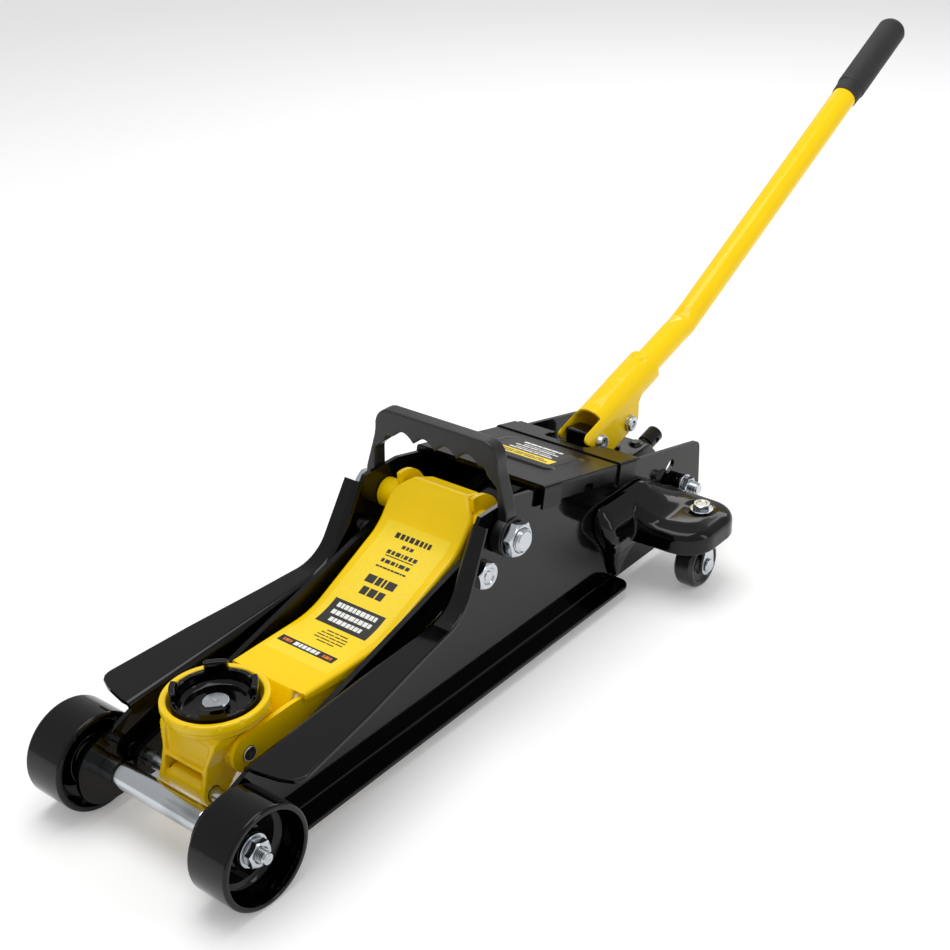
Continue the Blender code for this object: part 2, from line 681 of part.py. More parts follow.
def arm_cheek(side, sign):
    """Flat arm plate: a beam from the saddle pivot to the lift pivot, and a lobe for the ram."""
    beam = rounded([(40, 47, 14.5), (40, 77, 14.5), (104, 80, 20), (196, 79, 80), (290, 121, 50),
                    (330, 156, 8), (334, 112, 10), (262, 74, 60), (190, 46, 60)])
    cheek = prism(beam, "X", -ARM_WALL, 0)
    lobe = prism(hull([(*ARM_PIVOT, 22), (*RAM_PIN, 13)], 24), "X", -ARM_WALL, 0)
    join(cheek, lobe)
    above = cover_profile(CHEEK_INSET + 1)
    clear = [point for point in above if point[0] < 306] + [(310.5, 145), (310.5, 200), (100, 200)]
    drill(cheek, prism([(100, above[0][1])] + clear, "X", -20, 20))
    tapered(cheek, CHEEK_INSET)
    face = arm_half(ARM_PIVOT[0]) - CHEEK_INSET
    boss = rod("X", ARM_PIVOT, PIVOT_RADIUS + 3, face - 1, PLATE_INSIDE - GAP, 20)
    under = cover_profile(COVER_WALL + COVER_LIP + GAP)
    drill(boss, prism(under + [(under[-1][0], 200), (under[0][0], 200)], "X", face - 5, PLATE_INSIDE))
    join(cheek, boss)
    for centre, radius in ((ARM_PIVOT, PIVOT_RADIUS), (SADDLE_PIVOT, PIN_RADIUS), (RAM_PIN, RAM_PIN_RADIUS)):
        drill(cheek, rod("X", centre, radius + GAP, 20, PLATE_OUTSIDE + 6))
    add_piece(f"arm_cheek_{side}", mirrored(cheek, sign), "yellow_enamel", "lift_arm")


def arm_pins():
    reach = arm_half(SADDLE_PIVOT[0]) - CHEEK_INSET + 2
    add_piece("saddle_pivot_pin", rod("X", SADDLE_PIVOT, PIN_RADIUS, -reach, reach), "zinc", "lift_arm")
    reach = arm_half(RAM_PIN[0]) - CHEEK_INSET + 2
    add_piece("ram_pin", rod("X", RAM_PIN, RAM_PIN_RADIUS, -reach, reach), "bright_steel", "lift_arm")


def saddle_support():
    """Casting that the arm and the link bars keep level, with a ring for the saddle pad."""
    body = hull([(*SADDLE_PIVOT, 12), (34, 76, 4), (80, 76, 4), (*LINK_PIN, 9)], 24)
    block = prism(body, "X", -24, 24)
    floor = SADDLE_TOP - 14
    inner = SADDLE_RING_RADIUS - SADDLE_RING_WALL
    bowl = turned([(floor - 6, 0), (floor - 6, 28), (floor - 3, 34), (floor + 3, SADDLE_RING_RADIUS - 1),
                   (floor + 7, SADDLE_RING_RADIUS), (SADDLE_TOP - 1, SADDLE_RING_RADIUS),
                   (SADDLE_TOP, SADDLE_RING_RADIUS - 1), (SADDLE_TOP, inner), (floor + 1, inner - 0.5),
                   (floor, inner - 3), (floor, 0)], "Z", (0, SADDLE_Y), 32)
    join(block, bowl, rod("X", SADDLE_PIVOT, 13.5, -29, 29, 24))
    window = prism(rounded([(-17, 20, 0), (17, 20, 0), (17, 48, 5), (-17, 48, 5)]), "Y", 0, 46)
    drill(block, window)
    for centre in (SADDLE_PIVOT, LINK_PIN):
        drill(block, rod("X", centre, PIN_RADIUS + GAP, -60, 60))
    drill(block, rod("Z", (0, SADDLE_Y), PAD_BOLT_RADIUS + GAP, 70, 100))
    add_piece("saddle_support", block, "yellow_enamel", "saddle")
    reach = LINK_INSIDE + LINK_WALL + 3
    add_piece("link_pin", rod("X", LINK_PIN, PIN_RADIUS, -reach, reach), "zinc", "saddle")
    bolt = turned([(floor - 10, 0), (floor - 10, PAD_BOLT_RADIUS), (floor + 5.2, PAD_BOLT_RADIUS),
                   (floor + 5.2, 10.5), (floor + 7.5, 10.5), (floor + 8.5, 9), (floor + 8.5, 0)],
                  "Z", (0, SADDLE_Y), 20)
    add_piece("saddle_bolt", bolt, "zinc", "saddle")


def saddle_pad():
    add_body("saddle_pad", (0, SADDLE_Y, SADDLE_TOP), "saddle")
    floor = SADDLE_TOP - 14 + GAP
    rim = SADDLE_TOP + 1.5
    bore = PAD_BOLT_RADIUS + 2 * GAP
    profile = [(floor, bore), (floor, PAD_RADIUS - 4), (floor + 3, PAD_RADIUS), (rim, PAD_RADIUS),
               (rim, PAD_RADIUS - 4), (floor + 6, PAD_RADIUS - 5), (floor + 4, PAD_RADIUS - 8),
               (floor + 4, bore)]
    pad = turned(profile, "Z", (0, SADDLE_Y), 36, closed=True)
    for quarter in range(4):
        turn = math.radians(45 + 90 * quarter)
        lug = []
        for radius, angles in ((PAD_RADIUS - 0.4, range(-4, 5)), (PAD_RADIUS - 4.4, range(4, -5, -1))):
            for step in angles:
                angle = turn + math.radians(17) * step / 4
                lug.append((radius * math.cos(angle), SADDLE_Y + radius * math.sin(angle)))
        join(pad, prism(lug, "Z", rim - 6, PAD_TOP))
    add_piece("saddle_pad", pad, "black_enamel", "saddle_pad")


def link_bar(side, sign):
    body = f"link_{side}"
    add_body(body, (sign * LINK_INSIDE, *LINK_PIVOT), "chassis")
    bar = prism(hull([(*LINK_PIVOT, 11), (*LINK_PIN, 11)], 28), "X", LINK_INSIDE, LINK_INSIDE + LINK_WALL)
    for centre in (LINK_PIVOT, LINK_PIN):
        drill(bar, rod("X", centre, PIN_RADIUS + GAP, LINK_INSIDE - 3, LINK_INSIDE + LINK_WALL + 3))
    add_piece(f"link_bar_{side}", mirrored(bar, sign), "black_enamel", body)


# --------------------------------------------------------------- hydraulics
def ram():
    """Piston rod with a slotted head that pushes the ram pin forwards."""
    axis = (0, RAM_Z)
    add_body("ram", (0, RAM_PIN[0], RAM_Z), "chassis")
    front = RAM_PIN[0] - 15
    back = RAM_PIN[0] + RAM_HEAD_BACK
    head = prism(rounded([(front, RAM_Z - 18, 8), (back, RAM_Z - 14, 2), (back, RAM_Z + 16, 2),
                          (front, RAM_Z + 16, 8)]), "X", -13, 13)
    half = SPRING_X + SPRING_RADIUS + 2
    crossbar = prism([(-half, RAM_Z - 10), (half, RAM_Z - 10), (half, RAM_Z), (-half, RAM_Z)],
                     "Y", back - 8, back)
    clear = RAM_PIN_RADIUS + 2 * GAP
    slot = prism(hull([(RAM_PIN[0], RAM_Z - 4, clear), (RAM_PIN[0], RAM_Z + 4.5, clear)], 20), "X", -20, 20)
    drill(join(head, crossbar), slot)
    add_piece("ram_head", head, "cast_steel", "ram")
    piston = CYLINDER_FRONT + PISTON_DEPTH
    bore = CYLINDER_RADIUS - CYLINDER_WALL
    bar = turned([(back + GAP, 0), (back + GAP, ROD_RADIUS), (piston, ROD_RADIUS), (piston, bore),
                  (piston + PISTON_THICK, bore), (piston + PISTON_THICK, 0)], "Y", axis, 24)
    add_piece("piston_rod", bar, "bright_steel", "ram")


def cylinder():
    axis = (0, RAM_Z)
    front = CYLINDER_FRONT
    bore = CYLINDER_RADIUS - CYLINDER_WALL + GAP
    tube = ring("Y", axis, bore, CYLINDER_RADIUS, front, BLOCK_FRONT - GAP, 24)
    add_piece("hydraulic_cylinder", tube, "black_enamel", "chassis")
    rod_bore = ROD_RADIUS + GAP
    neck = bore - 2 * GAP
    gland = turned([(front - 10, rod_bore), (front - 10, CYLINDER_RADIUS - 2),
                    (front - GAP, CYLINDER_RADIUS + 1), (front - GAP, neck), (front + 14, neck),
                    (front + 14, rod_bore)], "Y", axis, 24, closed=True)
    add_piece("cylinder_gland", gland, "zinc", "chassis")
    start = RAM_PIN[0] + RAM_HEAD_BACK + GAP
    for side, sign in SIDES:
        spring = ring("Y", (SPRING_X, RAM_Z - 5), SPRING_RADIUS - 1.8, SPRING_RADIUS, start,
                      BLOCK_FRONT - GAP, 12)
        add_piece(f"return_spring_{side}", mirrored(spring, sign), "bright_steel", "chassis")


def pump_block():
    block = prism(rounded([(BLOCK_FRONT, BLOCK_LOW, 3), (BLOCK_REAR - 10, BLOCK_LOW, 4), (BLOCK_REAR, 52, 4),
                           (BLOCK_REAR, 78, 4), (586, BLOCK_TOP, 4), (BLOCK_FRONT, BLOCK_TOP, 3)]),
                  "X", -BLOCK_HALF, BLOCK_HALF)
    ears = prism(rounded([(BLOCK_FRONT + 1, 52, 2), (BLOCK_FRONT + 14, 52, 2), (BLOCK_FRONT + 14, 84, 2),
                          (BLOCK_FRONT + 1, 84, 2)]), "X", GAP - PLATE_INSIDE, PLATE_INSIDE - GAP)
    pivot_y, pivot_z = SOCKET_PIVOT
    lug_half = SOCKET_OUTSIDE - SOCKET_WALL - 2.5
    lug = prism(rounded([(pivot_y - 13, BLOCK_TOP - 8, 0), (pivot_y + 13, BLOCK_TOP - 8, 0),
                         (pivot_y + 13, pivot_z + 9, 6), (pivot_y - 13, pivot_z + 13, 3)]),
                "X", -lug_half, lug_half)
    join(block, ears, lug)
    drill(block, rod("X", SOCKET_PIVOT, SOCKET_BOLT_RADIUS + GAP, -30, 30),
          rod("X", TIE_ROD, TIE_RADIUS + GAP, -40, 40),
          rod("Z", (0, PLUNGER_Y), PLUNGER_RADIUS + GAP, 46, 120))
    valve = tilted(rod("Y", (0, 64), 5 + GAP, 588, 640), 15, (BLOCK_REAR, 64))
    drill(block, valve)
    add_piece("pump_block", block, "black_enamel", "chassis")


def pump_plunger():
    roller = on_socket(*ROLLER_AT)
    top = roller[1] - ROLLER_RADIUS - GAP
    add_body("plunger", (0, PLUNGER_Y, top), "chassis")
    low = BLOCK_TOP - 44
    profile = [(low, 0), (low, PLUNGER_RADIUS), (top - 4, PLUNGER_RADIUS), (top - 4, PLUNGER_CAP_RADIUS),
               (top - 1, PLUNGER_CAP_RADIUS), (top, PLUNGER_CAP_RADIUS - 1), (top, 0)]
    add_piece("pump_plunger", turned(profile, "Z", (0, PLUNGER_Y), 24), "bright_steel", "plunger")
    spring = ring("Z", (0, PLUNGER_Y), PLUNGER_RADIUS + 1, PLUNGER_RADIUS + 3.5, BLOCK_TOP + GAP,
                  top - 4 - GAP, 20)
    add_piece("plunger_spring", spring, "bright_steel", "chassis")


def release_valve():
    """Stem of the lowering valve, with the forked knuckle that the handle's end turns."""
    pivot = (BLOCK_REAR, 64.0)
    add_body("release_valve", (0, *pivot), "chassis")
    profile = [(590, 0), (590, 5), (604, 5), (604, 9), (612, 9), (618, 6.5), (624, 6.5),
               (624, 8.5), (643, 8.5), (644, 7.5), (644, 0)]
    valve = turned(profile, "Y", (0, 64), 24)
    flats = prism([(8.7, 40), (14, 40), (14, 90), (8.7, 90)], "Y", 600, 616)
    drill(valve, flats)
    add_piece("release_valve", tilted(valve, 15, pivot), "cast_steel", "release_valve")


# ------------------------------------------------------------ pump handle
def arch(half, foot):
    """Section of the folded sheet: a half-round crown over two straight cheeks."""
    crown = []
    for step in range(13):
        turn = math.pi * step / 12
        crown.append((half * math.cos(turn), TUBE_LIFT + half * math.sin(turn)))
    return [(half, foot)] + crown + [(-half, foot)]


def handle_socket():
    """Formed sheet socket: a tube at the top that opens into two cheeks below."""
    crown = TUBE_LIFT + SOCKET_OUTSIDE + 1
    outline = rounded([(-20, 14, 5), (-14, TUBE_LIFT + 10, 6), (2, crown, 5), (SOCKET_LENGTH - 30, crown, 0),
                       (SOCKET_LENGTH - 30, TUBE_LIFT - 6, 4), (66, -4, 8), (60, -22, 8), (40, -23, 8),
                       (8, -23, 4)])
    socket = prism(arch(SOCKET_OUTSIDE, -40), "Y", -30, SOCKET_LENGTH - 20)
    combine(socket, prism(outline, "X", -30, 30), "INTERSECT")
    axis = (0, TUBE_LIFT)
    join(socket, rod("Y", axis, SOCKET_OUTSIDE + 0.3, TUBE_FOOT - 5, SOCKET_LENGTH, 28))
    inner = SOCKET_OUTSIDE - SOCKET_WALL
    drill(socket, prism(arch(inner, -50), "Y", -40, TUBE_FOOT - 2),
          prism([(-13.6, 0), (13.6, 0), (13.6, 40), (-13.6, 40)], "Y", -40, 12),
          rod("Y", axis, TUBE_RADIUS + GAP, TUBE_FOOT - 8, SOCKET_LENGTH + 5, 28),
          rod("X", (0, 0), SOCKET_BOLT_RADIUS + GAP, -40, 40, 16),
          rod("X", ROLLER_AT, SOCKET_BOLT_RADIUS + GAP, -40, 40, 16))
    return socket


def to_socket(made):
    """Move a piece built along +Y from the origin onto the socket's axis and rest angle."""
    made.data.transform(Matrix.Translation((0, *SOCKET_PIVOT)))
    return tilted(made, HANDLE_REST, SOCKET_PIVOT)


def handle_tube():
    """Bent steel tube: a short stretch in the socket, a bend, and the long reach to the grip."""
    bend = math.radians(HANDLE_BEND)
    bend_radius = 120.0
    reach = bend_radius * math.tan(bend / 2)
    path = [(TUBE_FOOT, TUBE_LIFT)]
    for step in range(6):
        turn = bend * step / 5
        path.append((BEND_AT - reach + bend_radius * math.sin(turn),
                     TUBE_LIFT + bend_radius * (1 - math.cos(turn))))
    end = (BEND_AT + HANDLE_REACH * math.cos(bend), TUBE_LIFT + HANDLE_REACH * math.sin(bend))
    path.append(end)
    steps = 24
    sections = []
    for index, (along, across) in enumerate(path):
        before = Vector(path[max(index - 1, 0)])
        after = Vector(path[min(index + 1, len(path) - 1)])
        run = (after - before).normalized()
        ring_points = []
        for step in range(steps):
            turn = 2 * math.pi * step / steps
            side = TUBE_RADIUS * math.sin(turn)
            ring_points.append((TUBE_RADIUS * math.cos(turn), along - run.y * side, across + run.x * side))
        sections.append(ring_points)
    tube = loft(sections)
    hollow = rod("Y", (0, TUBE_LIFT), TUBE_RADIUS - TUBE_WALL, TUBE_FOOT - 5, BEND_AT - 20, 24)
    drill(tube, hollow)
    return tube, end, bend


def pump_handle():
    add_body("handle", (0, *SOCKET_PIVOT), "chassis")
    add_piece("handle_socket", to_socket(handle_socket()), "yellow_enamel", "handle")
    tube, end, bend = handle_tube()
    add_piece("handle_tube", to_socket(tube), "yellow_enamel", "handle")
    cap = end[0] + 4
    start = cap - GRIP_LENGTH
    bore = TUBE_RADIUS + GAP
    grip = turned([(start, bore), (start, bore + 0.6), (start + 14, bore + 1.3), (start + 15, bore + 1.8),
                   (start + 17, GRIP_RADIUS), (cap - 5, GRIP_RADIUS), (cap - 1.5, GRIP_RADIUS - 2),
                   (cap, GRIP_RADIUS - 5), (cap, 0), (end[0] + GAP, 0), (end[0] + GAP, bore)],
                  "Y", (0, end[1]), 24, closed=True)
    tilted(grip, math.degrees(bend), end)
    add_piece("handle_grip", to_socket(grip), "black_rubber", "handle")

    reach = SOCKET_OUTSIDE + GAP
    for name, centre in (("socket_pivot_bolt", (0.0, 0.0)), ("roller_bolt", ROLLER_AT)):
        shank = SOCKET_BOLT_RADIUS
        bolt = turned([(-reach - 1, 0), (-reach - 1, shank), (reach, shank), (reach, shank + 2.5),
                       (reach + 4.5, shank + 2.5), (reach + 4.5, 0)], "X", centre, 20)
        join(bolt, hexagon("X", centre, 2 * shank + 2, -reach - 5, -reach))
        add_piece(name, to_socket(bolt), "zinc", "handle")
    roller = ring("X", ROLLER_AT, SOCKET_BOLT_RADIUS + GAP, ROLLER_RADIUS, -10, 10)
    add_piece("plunger_roller", to_socket(roller), "bright_steel", "handle")


def carry_handle():
    """Moulded bail that folds back about the lift pivot shaft."""
    add_body("carry_handle", (0, *ARM_PIVOT), "chassis")
    pivot_y, pivot_z = ARM_PIVOT
    low = BOSS_START
    outer_foot = low + BOSS_WIDTH
    inside = CARRY_HALF - CARRY_BAR
    right = [(outer_foot, pivot_z, 0), (outer_foot, pivot_z + 28, 20), (CARRY_HALF, 192, 20),
             (CARRY_HALF, CARRY_TOP, 14)]
    outer = [(x, z, radius) for x, z, radius in right]
    inner = [(inside, 191, 4), (inside + 1, 185, 4), (low, 170, 10), (low, pivot_z, 0)]
    bail = rounded(outer + [(-x, z, radius) for x, z, radius in reversed(outer)]
                   + [(-x, z, radius) for x, z, radius in reversed(inner)] + inner)
    handle = prism(bail, "Y", pivot_y - CARRY_DEPTH / 2, pivot_y + CARRY_DEPTH / 2)
    pitch = (2 * inside - 8) / 4
    for finger in range(4):
        centre = (finger - 1.5) * pitch
        drill(handle, rod("Y", (centre, 181.5), pitch / 2 + 1, pivot_y - 20, pivot_y + 24))
    for side in (1, -1):
        ends = sorted((side * low, side * outer_foot))
        join(handle, rod("X", ARM_PIVOT, BOSS_RADIUS, ends[0], ends[1], 24))
    drill(handle, rod("X", ARM_PIVOT, PIVOT_RADIUS + GAP, -100, 100, 24))
    add_piece("carry_handle", handle, "black_plastic", "carry_handle")


# --------------------------------------------------------------- assembly
def centre_on_floor():
    """Move the whole jack so that the origin is under the middle of its box."""
    bpy.context.view_layer.update()
    places = []
    for made in bpy.data.objects:
        if made.type == "MESH":
            places += [(made.matrix_world @ vertex.co).y for vertex in made.data.vertices]
    bodies["chassis"].location.y = -(min(places) + max(places)) / 2


def main():
    for made in list(bpy.data.objects):
        bpy.data.objects.remove(made)
    add_body("chassis", (0, 0, 0))
    add_body("lift_arm", (0, *ARM_PIVOT), "chassis")
    add_body("saddle", (0, *SADDLE_PIVOT), "lift_arm")
    for side, sign in SIDES:
        side_plate(side, sign)
        front_wheel(side, sign)
        link_bolt(side, sign)
        caster_bracket(side, sign)
        caster(side, sign)
        arm_cheek(side, sign)
        link_bar(side, sign)
    front_axle()
    tie_rod()
    pivot_shaft()
    top_cover()
    arm_cover()
    arm_pins()
    saddle_support()
    saddle_pad()
    ram()
    cylinder()
    pump_block()
    pump_plunger()
    release_valve()
    pump_handle()
    carry_handle()
    centre_on_floor()


main()
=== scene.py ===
import json
import math

import bmesh
import bpy
from bpy.props import BoolProperty, FloatProperty, IntProperty, PointerProperty, StringProperty
from mathutils import Matrix, Vector


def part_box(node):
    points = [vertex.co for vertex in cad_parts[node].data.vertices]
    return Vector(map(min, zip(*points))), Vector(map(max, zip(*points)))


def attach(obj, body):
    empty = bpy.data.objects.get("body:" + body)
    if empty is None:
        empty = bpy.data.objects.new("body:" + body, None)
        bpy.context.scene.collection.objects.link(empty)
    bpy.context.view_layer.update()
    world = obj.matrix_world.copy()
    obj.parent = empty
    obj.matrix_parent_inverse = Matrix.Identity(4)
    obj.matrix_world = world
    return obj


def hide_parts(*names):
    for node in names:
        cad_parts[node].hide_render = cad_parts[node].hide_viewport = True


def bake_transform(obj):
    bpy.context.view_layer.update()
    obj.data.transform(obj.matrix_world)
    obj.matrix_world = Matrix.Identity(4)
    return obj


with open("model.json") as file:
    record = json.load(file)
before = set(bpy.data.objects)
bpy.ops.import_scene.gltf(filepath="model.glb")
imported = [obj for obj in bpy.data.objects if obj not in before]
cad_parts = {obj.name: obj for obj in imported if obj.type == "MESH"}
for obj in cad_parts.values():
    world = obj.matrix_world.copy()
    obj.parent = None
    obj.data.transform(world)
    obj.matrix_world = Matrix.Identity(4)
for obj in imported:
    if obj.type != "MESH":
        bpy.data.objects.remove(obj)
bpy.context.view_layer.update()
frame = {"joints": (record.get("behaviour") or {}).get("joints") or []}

bl_info = {
    "name": "Hydraulic Trolley Jack",
    "version": (1, 0, 0),
    "blender": (4, 5, 0),
    "location": "View3D > Sidebar > Jack",
    "description": "Builds the pressed, cast, turned and moulded pieces of a trolley jack around its frame",
    "category": "Object",
}

# The pieces are drawn in millimetres: X across the jack, Y back from the front axle, Z up from the floor.
# Sizes that other pieces share come from the frame, or stand here under a name.
MM = 0.001
AXLE_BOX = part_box("front_axle")
AXLE_PLACE = (AXLE_BOX[0] + AXLE_BOX[1]) / 2
TO_WORLD = Matrix.Translation((0, AXLE_PLACE.y, 0)) @ Matrix.Scale(MM, 4)
GAP = 0.3
SIDES = (("left", 1), ("right", -1))


def drawn(point):
    """A place in the frame, in the millimetres that the pieces are drawn in."""
    return TO_WORLD.inverted() @ Vector(point)


def spot(node):
    """Lowest and highest corners of a frame node, in millimetres."""
    low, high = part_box(node)
    return drawn(low), drawn(high)


def middle_of(node):
    """(y, z) of the middle of a frame node."""
    low, high = spot(node)
    return tuple((low + high).yz / 2)


def pivot_of(body):
    """(y, z) of the joint that a body turns on."""
    for joint in frame["joints"]:
        if joint["child"] == body:
            place = drawn(joint["pos_m"])
            return place.y, place.z
    raise ValueError(f"no joint carries {body}")


AXLE = pivot_of("front_wheel_left")
ARM_PIVOT = pivot_of("lift_arm")
SADDLE_PIVOT = pivot_of("saddle")
LINK_PIVOT = pivot_of("link_left")
SOCKET_PIVOT = pivot_of("handle")
LINK_PIN = (SADDLE_PIVOT[0] + LINK_PIVOT[0] - ARM_PIVOT[0], SADDLE_PIVOT[1] + LINK_PIVOT[1] - ARM_PIVOT[1])
SADDLE_Y = (spot("saddle_pad")[0].y + spot("saddle_pad")[1].y) / 2
SADDLE_TOP = spot("saddle_support")[1].z
PAD_TOP = spot("saddle_pad")[1].z
WHEEL_IN = spot("side_plate_left")[0].x + 9.6
WHEEL_OUT = spot("front_wheel_left")[1].x
WHEEL_RADIUS = AXLE[1]
CASTER_X = (spot("caster_wheel_left")[0].x + spot("caster_wheel_left")[1].x) / 2
CASTER_AXLE = pivot_of("caster_wheel_left")
CASTER_Y = pivot_of("caster_swivel_left")[0]
PLATE_IN = spot("side_plate_left")[0].x
PLATE_WALL = 4.0
PLATE_OUT = PLATE_IN + PLATE_WALL
PLATE_REAR = spot("side_plate_left")[1].y
PLATE_TOP = spot("side_plate_left")[1].z
TIE_ROD = middle_of("rear_tie_rod")
PLUNGER_Y = (spot("pump_plunger")[0].y + spot("pump_plunger")[1].y) / 2
HANDLE_REST = 17.0
TUBE_LIFT = 7.3
WHEEL_SEAT = WHEEL_OUT - 16.0
WING_TOP = 75.0
BOLT_RECESS = 2.0
VALVE_Z = 64.0
VALVE_TILT = 15
GRIP_LENGTH = 122.0


# ------------------------------------------------------------------ settings
class JackSizes(bpy.types.PropertyGroup):
    """Sizes of the fine shapes that the frame leaves open, in millimetres"""

    fold_radius: FloatProperty(
        name="Fold radius", description="Outer radius of the side plates' folds, in mm",
        default=6.0, min=4.5, max=9.0)
    cast_grid: FloatProperty(
        name="Cast grid", description="Grid that rounds off castings, in mm", default=0.9, min=0.6, max=2.0)
    press_grid: FloatProperty(
        name="Press grid", description="Grid that rounds off deep pressings, in mm", default=0.8, min=0.6,
        max=2.0)
    mould_rounds: IntProperty(
        name="Moulded edge", description="Smoothing rounds that roll over moulded edges", default=14, min=2,
        max=40)
    thread_pitch: FloatProperty(
        name="Thread pitch", description="Pitch of the visible threads, in mm", default=1.5, min=1.0, max=2.5)
    spring_wire: FloatProperty(
        name="Spring wire", description="Diameter of the springs' wire, in mm", default=1.8, min=1.0, max=3.0)
    panel_rise: FloatProperty(
        name="Panel rise", description="Height of the embossed panel on the top cover, in mm",
        default=2.0, min=0.5, max=3.0)


class JackColours(bpy.types.PropertyGroup):
    """Colours of the jack's finishes, as sRGB hex values"""

    yellow: StringProperty(name="Yellow enamel", description="sRGB hex colour", default="#FFD500")
    black: StringProperty(name="Black enamel", description="sRGB hex colour", default="#030303")
    zinc: StringProperty(name="Zinc plate", description="sRGB hex colour", default="#C6CBD0")
    steel: StringProperty(name="Ground steel", description="sRGB hex colour", default="#B9B8B5")
    plastic: StringProperty(name="Black plastic", description="sRGB hex colour", default="#0C0C0D")
    rubber: StringProperty(name="Grip rubber", description="sRGB hex colour", default="#19191A")
    show_labels: BoolProperty(name="Labels", description="Lay the plain printed labels on", default=True)


class StageSettings(bpy.types.PropertyGroup):
    """Floor, light and camera"""

    lens: FloatProperty(
        name="Lens", description="Focal length", default=59.0, min=20, max=200, unit="CAMERA")
    floor: StringProperty(name="Floor", description="sRGB hex colour", default="#F2F2F2")
    key: FloatProperty(
        name="Key light", description="Power of the overhead softbox", default=26.0, unit="POWER")
    fill: FloatProperty(
        name="Fill light", description="Power of the two edge strips", default=6.0, unit="POWER")
    glow: FloatProperty(
        name="Floor glow", description="Light of the floor's own, as of a backlit sheet",
        default=0.2, min=0, max=1)
    world: FloatProperty(
        name="Sky", description="Strength of the even white light", default=0.55, min=0, max=2)


# ------------------------------------------------------------------ outlines
def hull(discs, steps=48):
    """Convex outline around discs given as (u, v, radius)."""
    points = set()
    for u, v, radius in discs:
        for step in range(steps):
            turn = 2 * math.pi * (step + 0.5) / steps
            points.add((u + radius * math.cos(turn), v + radius * math.sin(turn)))
    ordered = sorted(points)

    def chain(sequence):
        """One half of the outline, from the sorted points."""
        side = []
        for point in sequence:
            while len(side) > 1 and turn_of(side[-2], side[-1], point) <= 1e-9:
                side.pop()
            side.append(point)
        return side[:-1]

    return chain(ordered) + chain(reversed(ordered))


def turn_of(a, b, c):
    """Positive where a to b to c turns left."""
    return (b[0] - a[0]) * (c[1] - a[1]) - (b[1] - a[1]) * (c[0] - a[0])


def rounded(corners, closed=True, steps=8):
    """Outline through (u, v, radius) corners, each rounded by an arc of its radius."""
    outline = []
    count = len(corners)
    for index, (u, v, radius) in enumerate(corners):
        corner = Vector((u, v))
        if radius == 0 or (not closed and index in (0, count - 1)):
            outline.append((u, v))
            continue
        back = (Vector(corners[index - 1][:2]) - corner).normalized()
        ahead = (Vector(corners[(index + 1) % count][:2]) - corner).normalized()
        half = back.angle(ahead) / 2
        centre = corner + (back + ahead).normalized() * radius / math.sin(half)
        start = corner + back * radius / math.tan(half) - centre
        finish = corner + ahead * radius / math.tan(half) - centre
        sweep = start.angle_signed(finish)
        for step in range(steps + 1):
            arm = start.copy()
            arm.rotate(Matrix.Rotation(-sweep * step / steps, 2))
            outline.append(tuple(centre + arm))
    return outline


def between(value, places, results):
    """Straight-line interpolation, held at both ends."""
    if value <= places[0]:
        return results[0]
    for index in range(1, len(places)):
        if value <= places[index]:
            share = (value - places[index - 1]) / (places[index] - places[index - 1])
            return results[index - 1] + share * (results[index] - results[index - 1])
    return results[-1]


def eased(value, low, high):
    """0 below low, 1 above high, and a smooth step between."""
    share = min(max((value - low) / (high - low), 0.0), 1.0)
    return share * share * (3 - 2 * share)


def spread(line, pitch):
    """The same line with points no further apart than a pitch."""
    points = [line[0]]
    for one, two in zip(line, line[1:]):
        count = max(1, math.ceil(math.dist(one, two) / pitch))
        for step in range(1, count + 1):
            share = step / count
            points.append(tuple(a + (b - a) * share for a, b in zip(one, two)))
    return points


# -------------------------------------------------------------------- solids
def mesh_object(build, label="work"):
    """An object from a bmesh, with its faces turned outwards."""
    bmesh.ops.remove_doubles(build, verts=build.verts[:], dist=1e-4)
    bmesh.ops.recalc_face_normals(build, faces=build.faces[:])
    mesh = bpy.data.meshes.new(label)
    build.to_mesh(mesh)
    build.free()
    made = bpy.data.objects.new(label, mesh)
    bpy.context.scene.collection.objects.link(made)
    return made


def on_axis(axis, along, u, v):
    """Point at along on the axis, with (u, v) on the other two axes in X, Y, Z order."""
    if axis == "X":
        return (along, u, v)
    if axis == "Y":
        return (u, along, v)
    return (u, v, along)


def prism(outline, axis, low, high, edge=0.0, steps=3):
    """Outline extruded along an axis, with the rims of its two ends rounded by edge."""
    build = bmesh.new()
    rings = []
    for along in (low, high):
        rings.append([build.verts.new(on_axis(axis, along, u, v)) for u, v in outline])
    count = len(outline)
    for index in range(count):
        after = (index + 1) % count
        build.faces.new((rings[0][index], rings[0][after], rings[1][after], rings[1][index]))
    caps = [build.faces.new(rings[0]), build.faces.new(list(reversed(rings[1])))]
    if edge:
        rims = [one for cap in caps for one in cap.edges]
        bmesh.ops.bevel(build, geom=rims, offset=edge, segments=steps, profile=0.5, affect="EDGES",
                        clamp_overlap=True)
    return mesh_object(build)


def turned(profile, axis, centre, steps=72, closed=False):
    """Solid of revolution: (along, radius) points, open profiles start and end on the axis."""
    build = bmesh.new()
    rings = []
    for along, radius in profile:
        count = 1 if radius == 0 else steps
        ring_points = []
        for step in range(count):
            turn = 2 * math.pi * step / steps
            u = centre[0] + radius * math.cos(turn)
            v = centre[1] + radius * math.sin(turn)
            ring_points.append(build.verts.new(on_axis(axis, along, u, v)))
        rings.append(ring_points)
    pairs = list(zip(rings, rings[1:]))
    if closed:
        pairs.append((rings[-1], rings[0]))
    for one, two in pairs:
        for step in range(steps if len(one) + len(two) > 2 else 0):
            after = (step + 1) % steps
            corners = [one[step % len(one)], one[after % len(one)],
                       two[after % len(two)], two[step % len(two)]]
            build.faces.new(list(dict.fromkeys(corners)))
    return mesh_object(build)


